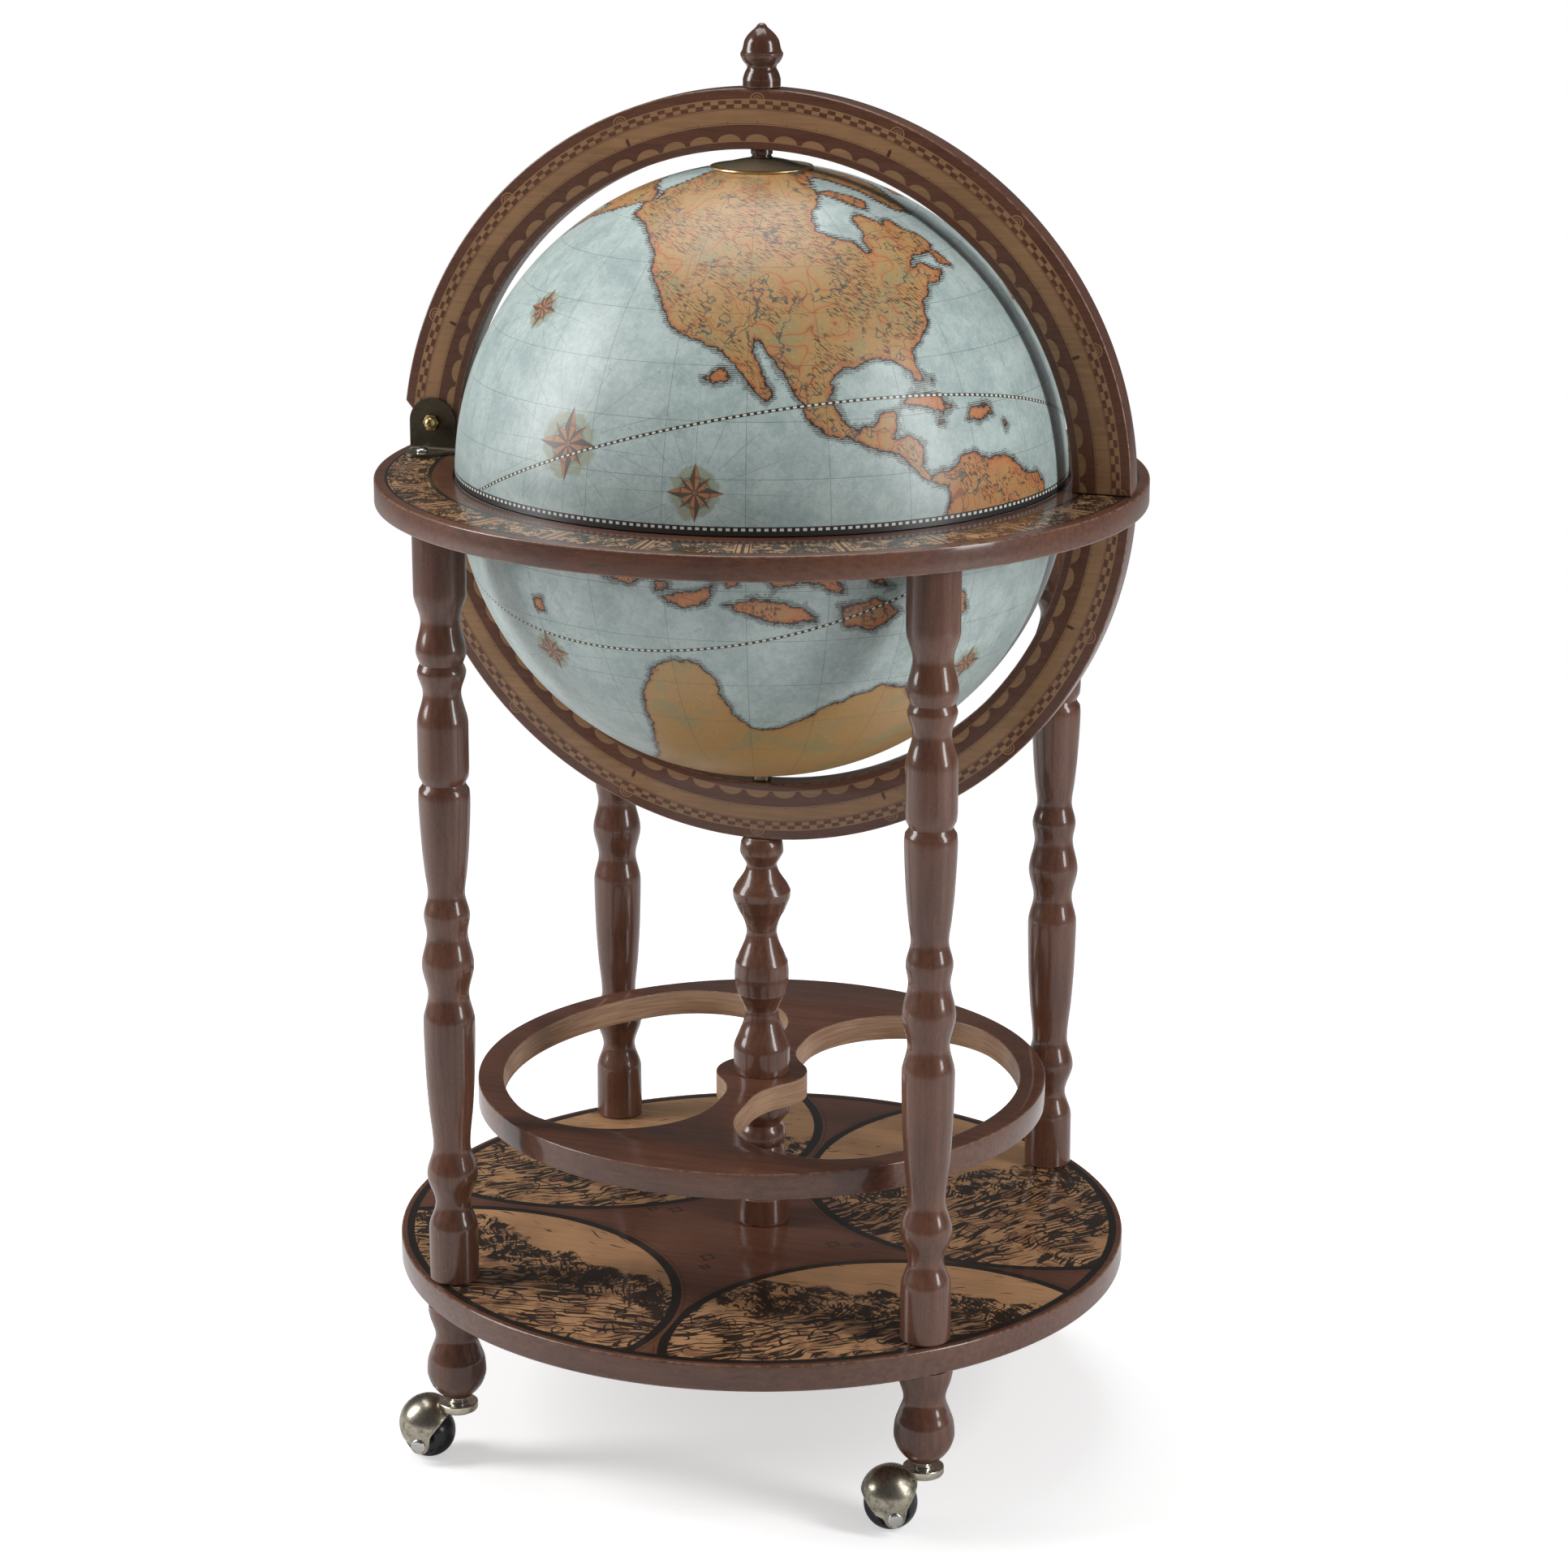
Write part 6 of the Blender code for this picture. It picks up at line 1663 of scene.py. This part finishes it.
def hood_shape(trail):
    """The cast hood with its arm and swivel cup, about the wheel's centre with X along the trail."""
    inner, outer, rise = 0.0187, 0.0199, 0.0062
    ear, height = 0.0070, 0.0060
    at_swivel = Matrix.Translation((-trail, 0, 0))
    across = WHEEL_LEAN @ TO_THE_FRONT

    def bullet(radius, foot):
        angles = [math.radians(angle) for angle in range(84, -1, -6)]
        dome = [(radius * math.cos(angle), rise + radius * math.sin(angle)) for angle in angles]
        return [(0, rise + radius)] + dome + [(radius, foot), (0, foot)]

    hood = turned_blank(bullet(outer, -0.04), 72, WHEEL_LEAN)
    profile = outline_arc((0, 0), ear, 180, 350, 20) + list(HOOD_MOUTH)
    cut(hood, blank(board([profile], 0.09, 0.0, across)), "INTERSECT")
    plate = [
        (0, PLATE_HIGH), (PLATE_RADIUS - 0.0004, PLATE_HIGH), (PLATE_RADIUS, PLATE_HIGH - 0.0004),
        (PLATE_RADIUS, PLATE_LOW + 0.0018), (PLATE_RADIUS - 0.0006, PLATE_LOW + 0.0008),
        (0.0113, PLATE_LOW), (0, PLATE_LOW),
    ]
    cut(hood, turned_blank(plate, 64, at_swivel), "UNION")
    arm = [
        (-trail, PLATE_LOW + 0.0036), (-trail, PLATE_LOW + 0.0006), (-outer, PLATE_LOW - 0.0015),
        (-outer / 2, PLATE_LOW - 0.0015), (-outer / 2, PLATE_LOW + 0.0036),
    ]
    cut(hood, blank(board([arm], 0.014, 0.0, TO_THE_FRONT)), "UNION")
    cut(hood, turned_blank(bullet(inner, -0.044), 72, WHEEL_LEAN), "DIFFERENCE")
    recess = at_swivel @ Matrix.Translation((0, 0, PLATE_LOW - height))
    cut(hood, rod_blank(0.0043, height, recess), "DIFFERENCE")
    for start in (0.012, -0.032):
        cut(hood, rod_blank(AXLE_BORE, 0.02, across @ Matrix.Translation((0, 0, start))), "DIFFERENCE")
    cut(hood, rod_blank(0.0028, 0.04, at_swivel), "DIFFERENCE")
    return rounded(shape_of(hood), 0.00022, 55.0)


def wheel_shape():
    """The truncated ball of a wheel, with a dished hub face and a boss on each side, along Z."""
    boss, boss_end, face, dish = 0.0042, 0.0170, 0.0135, 0.0012
    lean = math.degrees(math.asin(face / WHEEL_RADIUS))
    angles = [math.radians(angle) for angle in np.linspace(lean, -lean, 40)]
    ball = [(WHEEL_RADIUS * math.cos(angle), WHEEL_RADIUS * math.sin(angle)) for angle in angles]
    rim = ball[0][0]
    upper = [
        (AXLE_BORE, boss_end), (boss, boss_end), (boss, face - dish), (rim - 0.0016, face - dish),
        (rim - dish, face),
    ]
    lower = [(across, -height) for across, height in upper[::-1]]
    shape = bmesh.new()
    turn_outline(shape, upper + ball + lower, 72, closed=True)
    return merged(shape)


def build_axle(corner, place, radius):
    """The axle with a domed rivet head on each end."""
    half_length, shank = 0.0202, 0.0022
    dome = [(0, 0.0019)] + domed(radius, 0.0016, 0.0003, 15, 91)
    dome += [(radius - 0.0003, 0.0), (shank, 0.0), (shank, -half_length), (0, -half_length)]
    head = bmesh.new()
    turn_outline(head, dome, 40)
    mesh = through_tree(merged(head), "ends", reach=half_length, finish=FINISHES["steel"])
    mesh.transform(place)
    piece_of_mesh("axle_rivets_" + corner, mesh, ["steel"], "swivel_" + corner, "caster_axle_" + corner)


def build_stem(corner):
    """The caster's stem, with the two collars between the foot and the swivel plate."""
    node = "caster_stem_" + corner
    low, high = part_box(node)
    stem = middle(node)
    plate_top = WHEEL_RADIUS + PLATE_HIGH
    neck, collar, groove, shank, foot = 0.0040, 0.0062, 0.0050, 0.0025, 0.0037
    edge, foot_height = 0.0004, 0.0012
    outline = [
        (0, high.z), (neck - edge, high.z), (neck, high.z - 0.001), (neck, plate_top + 0.0045),
        (collar - edge, plate_top + 0.0045), (collar, plate_top + 0.0040), (collar, plate_top + 0.0030),
        (groove, plate_top + 0.0024), (groove, plate_top + 0.0014), (collar, plate_top + 0.0009),
        (collar, plate_top + GAP), (shank, plate_top + GAP), (shank, low.z + foot_height),
        (foot, low.z + foot_height), (foot, low.z), (0, low.z),
    ]
    place = Matrix.Translation((stem.x, stem.y, 0))
    turned_piece("stem_" + corner, outline, place, "steel", "stand", node)


def build_casters(sizes):
    """Four casters from one hood and one wheel: hood and axle swivel, the wheel rolls, the stem stays."""
    patterns = hood_shape(caster_frames("front_left")[2]), wheel_shape()
    for corner in CORNERS:
        wheel_place, axle_place, _ = caster_frames(corner)
        hood, ball = [pattern.copy() for pattern in patterns]
        bmesh.ops.transform(hood, matrix=wheel_place, verts=hood.verts)
        swivel = "swivel_" + corner
        piece("hood_" + corner, hood, ["old_brass"], swivel, "caster_hood_" + corner, crisp=38.0)
        bmesh.ops.transform(ball, matrix=axle_place, verts=ball.verts)
        piece("ball_" + corner, ball, ["black"], "wheel_" + corner, "caster_wheel_" + corner)
        build_axle(corner, axle_place, sizes.rivet_radius)
        build_stem(corner)
    for pattern in patterns:
        pattern.free()


def build_fittings():
    """Give the solids that stay as they are their finishes."""
    studs = ["leg_stud_" + corner for corner in CORNERS]
    kept = {
        "steel": ["pole_nut", "bowl_nut", "centre_rod", "centre_nut"] + studs,
        "raw": ["meridian_dowel_left", "meridian_dowel_right"],
        "black_edge": ["lid_rim"],
    }
    for finish, names in kept.items():
        for name in names:
            mesh = bpy.data.objects[name].data
            mesh.materials.clear()
            mesh.materials.append(FINISHES[finish])


def white_light(node, strength):
    """The shader of an emission or a background, set to white of one strength."""
    node.inputs["Color"].default_value = (1.0, 1.0, 1.0, 1.0)
    node.inputs["Strength"].default_value = strength
    return node.outputs[0]


def mixed_shader(tree, share, first, second):
    """A shader that goes from the first to the second as the share goes from 0 to 1."""
    mix = tree.nodes.new("ShaderNodeMixShader")
    for socket, value in zip(mix.inputs, (share, first, second)):
        tree.links.new(value, socket)
    return mix.outputs[0]


def stage_finish():
    """A white floor that keeps the shadow and looks as white as the backdrop to the camera."""
    finish = Finish("white_floor")
    tree = finish.tree
    x, y, _ = finish.place().parts()
    far = reach(x, y).rise(900.0, 1900.0)
    finish.shader.inputs["Base Color"].default_value = (0.82, 0.82, 0.82, 1.0)
    finish.shader.inputs["Roughness"].default_value = 0.9
    finish.shader.inputs["Specular IOR Level"].default_value = 0.1
    path = tree.nodes.new("ShaderNodeLightPath")
    by_camera, through_glass = [
        Value(finish, path.outputs[name]) for name in ("Is Camera Ray", "Is Transmission Ray")
    ]
    seen = by_camera.most(through_glass)
    plain = finish.shader.outputs[0]
    glowing = tree.nodes.new("ShaderNodeAddShader")
    tree.links.new(plain, glowing.inputs[0])
    tree.links.new(white_light(tree.nodes.new("ShaderNodeEmission"), 0.50), glowing.inputs[1])
    near = mixed_shader(tree, seen.socket, plain, glowing.outputs[0])
    white = white_light(tree.nodes.new("ShaderNodeEmission"), 1.0)
    whole = mixed_shader(tree, (far * seen).socket, near, white)
    tree.links.new(whole, tree.nodes["Material Output"].inputs["Surface"])
    return finish.material


def build_floor():
    """A wide round floor under the stand."""
    shape = bmesh.new()
    bmesh.ops.create_circle(shape, cap_ends=True, segments=96, radius=6.0)
    mesh = mesh_of("floor", shape)
    mesh.materials.append(stage_finish())
    floor = placed("floor", mesh)


def build_world():
    """Soft white light, weaker in polished surfaces, before a white backdrop."""
    world = bpy.data.worlds.new("studio")
    bpy.context.scene.world = world
    world.use_nodes = True
    tree = world.node_tree
    path = tree.nodes.new("ShaderNodeLightPath")
    soft = white_light(tree.nodes["Background"], 0.16)
    dim = white_light(tree.nodes.new("ShaderNodeBackground"), 0.07)
    white = white_light(tree.nodes.new("ShaderNodeBackground"), 1.0)
    polished = mixed_shader(tree, path.outputs["Is Glossy Ray"], soft, dim)
    whole = mixed_shader(tree, path.outputs["Is Camera Ray"], polished, white)
    tree.links.new(whole, tree.nodes["World Output"].inputs["Surface"])


def build_lamp(name, place, target_height, size, power):
    """A soft box that faces a point on the Z axis."""
    lamp = bpy.data.lights.new(name, "AREA")
    lamp.shape = "RECTANGLE"
    lamp.size, lamp.size_y = size
    lamp.energy = power
    made = placed(name, lamp)
    made.location = place
    aim = Vector((0.0, 0.0, target_height)) - Vector(place)
    made.rotation_euler = aim.to_track_quat("-Z", "Y").to_euler()


def build_camera():
    """The camera at the photograph's place, turned right of the front and looking down."""
    azimuth, fall = 17.818, 15.707
    distance, height = 2.59511, 1.18973
    turn = math.radians(azimuth)
    camera = bpy.data.cameras.new("camera")
    camera.sensor_width = 36.0
    camera.lens = 92.92
    camera.shift_x = 0.01419
    camera.shift_y = -0.01727
    seen = placed("camera", camera)
    seen.location = (distance * math.sin(turn), -distance * math.cos(turn), height)
    seen.rotation_euler = (math.radians(90 - fall), 0.0, turn)
    bpy.context.scene.camera = seen


def build_stage():
    """The floor, the backdrop, the lamps and the camera."""
    build_floor()
    build_world()
    build_lamp("left_softbox", (-2.1, -0.75, 1.6), 0.5, (0.9, 1.9), 54.0)
    build_lamp("right_softbox", (2.1, -0.45, 1.35), 0.5, (0.5, 1.9), 37.0)
    build_lamp("top_softbox", (-0.3, 0.5, 2.6), 0.4, (1.5, 1.5), 28.0)
    build_camera()
    bpy.context.scene.view_settings.view_transform = "Standard"


class Step(bpy.types.Operator):
    """One step of the work."""

    bl_options = {"REGISTER", "UNDO"}

    def execute(self, context):
        self.work(context.scene.globe_bar_sizes, context.scene.globe_bar_colours)
        return {"FINISHED"}


class GLOBEBAR_OT_finishes(Step):
    """Make every finish"""

    bl_idname = "globe_bar.finishes"
    bl_label = "Finishes"

    def work(self, sizes, colours):
        make_finishes(colours, sizes)


class GLOBEBAR_OT_legs(Step):
    """Turn the four legs"""

    bl_idname = "globe_bar.legs"
    bl_label = "Legs"

    def work(self, sizes, colours):
        build_legs(sizes)


class GLOBEBAR_OT_feet(Step):
    """Turn the four feet"""

    bl_idname = "globe_bar.feet"
    bl_label = "Feet"

    def work(self, sizes, colours):
        build_feet(sizes)


class GLOBEBAR_OT_column(Step):
    """Turn both lengths of the centre column"""

    bl_idname = "globe_bar.column"
    bl_label = "Column"

    def work(self, sizes, colours):
        build_column(sizes)


class GLOBEBAR_OT_finial(Step):
    """Turn the acorn finial"""

    bl_idname = "globe_bar.finial"
    bl_label = "Finial"

    def work(self, sizes, colours):
        build_finial(sizes)


class GLOBEBAR_OT_base_shelf(Step):
    """Cut and print the base shelf"""

    bl_idname = "globe_bar.base_shelf"
    bl_label = "Base shelf"

    def work(self, sizes, colours):
        build_base_shelf(sizes)


class GLOBEBAR_OT_bottle_shelf(Step):
    """Cut the bottle shelf"""

    bl_idname = "globe_bar.bottle_shelf"
    bl_label = "Bottle shelf"

    def work(self, sizes, colours):
        build_bottle_shelf(sizes)


class GLOBEBAR_OT_horizon_ring(Step):
    """Turn and print the horizon ring"""

    bl_idname = "globe_bar.horizon_ring"
    bl_label = "Horizon ring"

    def work(self, sizes, colours):
        build_horizon_ring(sizes)


class GLOBEBAR_OT_meridians(Step):
    """Cut and print both meridian rings"""

    bl_idname = "globe_bar.meridians"
    bl_label = "Meridian rings"

    def work(self, sizes, colours):
        build_meridians(sizes)


class GLOBEBAR_OT_globe(Step):
    """Cover both halves of the globe with the map"""

    bl_idname = "globe_bar.globe"
    bl_label = "Globe"

    def work(self, sizes, colours):
        build_globe(sizes)


class GLOBEBAR_OT_pole(Step):
    """Make the pole's plate and pins"""

    bl_idname = "globe_bar.pole"
    bl_label = "Pole fittings"

    def work(self, sizes, colours):
        build_pole()


class GLOBEBAR_OT_hinge(Step):
    """Make the lid's hinge"""

    bl_idname = "globe_bar.hinge"
    bl_label = "Lid hinge"

    def work(self, sizes, colours):
        build_hinge()


class GLOBEBAR_OT_tray(Step):
    """Cut the glass tray and the bottle floor"""

    bl_idname = "globe_bar.tray"
    bl_label = "Tray"

    def work(self, sizes, colours):
        build_tray(sizes)


class GLOBEBAR_OT_casters(Step):
    """Make the four hooded casters"""

    bl_idname = "globe_bar.casters"
    bl_label = "Casters"

    def work(self, sizes, colours):
        build_casters(sizes)


class GLOBEBAR_OT_fittings(Step):
    """Finish the solids that stay as they are"""

    bl_idname = "globe_bar.fittings"
    bl_label = "Hidden fittings"

    def work(self, sizes, colours):
        build_fittings()


class GLOBEBAR_OT_stage(Step):
    """Set the floor, the lamps and the camera"""

    bl_idname = "globe_bar.stage"
    bl_label = "Stage"

    def work(self, sizes, colours):
        build_stage()


STEPS = (
    GLOBEBAR_OT_finishes,
    GLOBEBAR_OT_legs,
    GLOBEBAR_OT_feet,
    GLOBEBAR_OT_column,
    GLOBEBAR_OT_finial,
    GLOBEBAR_OT_base_shelf,
    GLOBEBAR_OT_bottle_shelf,
    GLOBEBAR_OT_horizon_ring,
    GLOBEBAR_OT_meridians,
    GLOBEBAR_OT_globe,
    GLOBEBAR_OT_pole,
    GLOBEBAR_OT_hinge,
    GLOBEBAR_OT_tray,
    GLOBEBAR_OT_casters,
    GLOBEBAR_OT_fittings,
    GLOBEBAR_OT_stage,
)


class GLOBEBAR_PT_panel(bpy.types.Panel):
    """The steps of the globe bar"""

    bl_label = "Globe Bar"
    bl_idname = "GLOBEBAR_PT_panel"
    bl_space_type = "VIEW_3D"
    bl_region_type = "UI"
    bl_category = "Globe Bar"

    def draw(self, context):
        layout = self.layout
        for group in (context.scene.globe_bar_sizes, context.scene.globe_bar_colours):
            for name in group.__annotations__:
                layout.prop(group, name)
        for step in STEPS:
            layout.operator(step.bl_idname)


CLASSES = (GlobeBarSizes, GlobeBarColours, *STEPS, GLOBEBAR_PT_panel)


def register():
    for kind in CLASSES:
        bpy.utils.register_class(kind)
    bpy.types.Scene.globe_bar_sizes = bpy.props.PointerProperty(type=GlobeBarSizes)
    bpy.types.Scene.globe_bar_colours = bpy.props.PointerProperty(type=GlobeBarColours)


def unregister():
    del bpy.types.Scene.globe_bar_colours
    del bpy.types.Scene.globe_bar_sizes
    for kind in reversed(CLASSES):
        bpy.utils.unregister_class(kind)


def main():
    register()
    for step in STEPS:
        group, name = step.bl_idname.split(".")
        getattr(getattr(bpy.ops, group), name)()


if __name__ == "__main__":
    main()
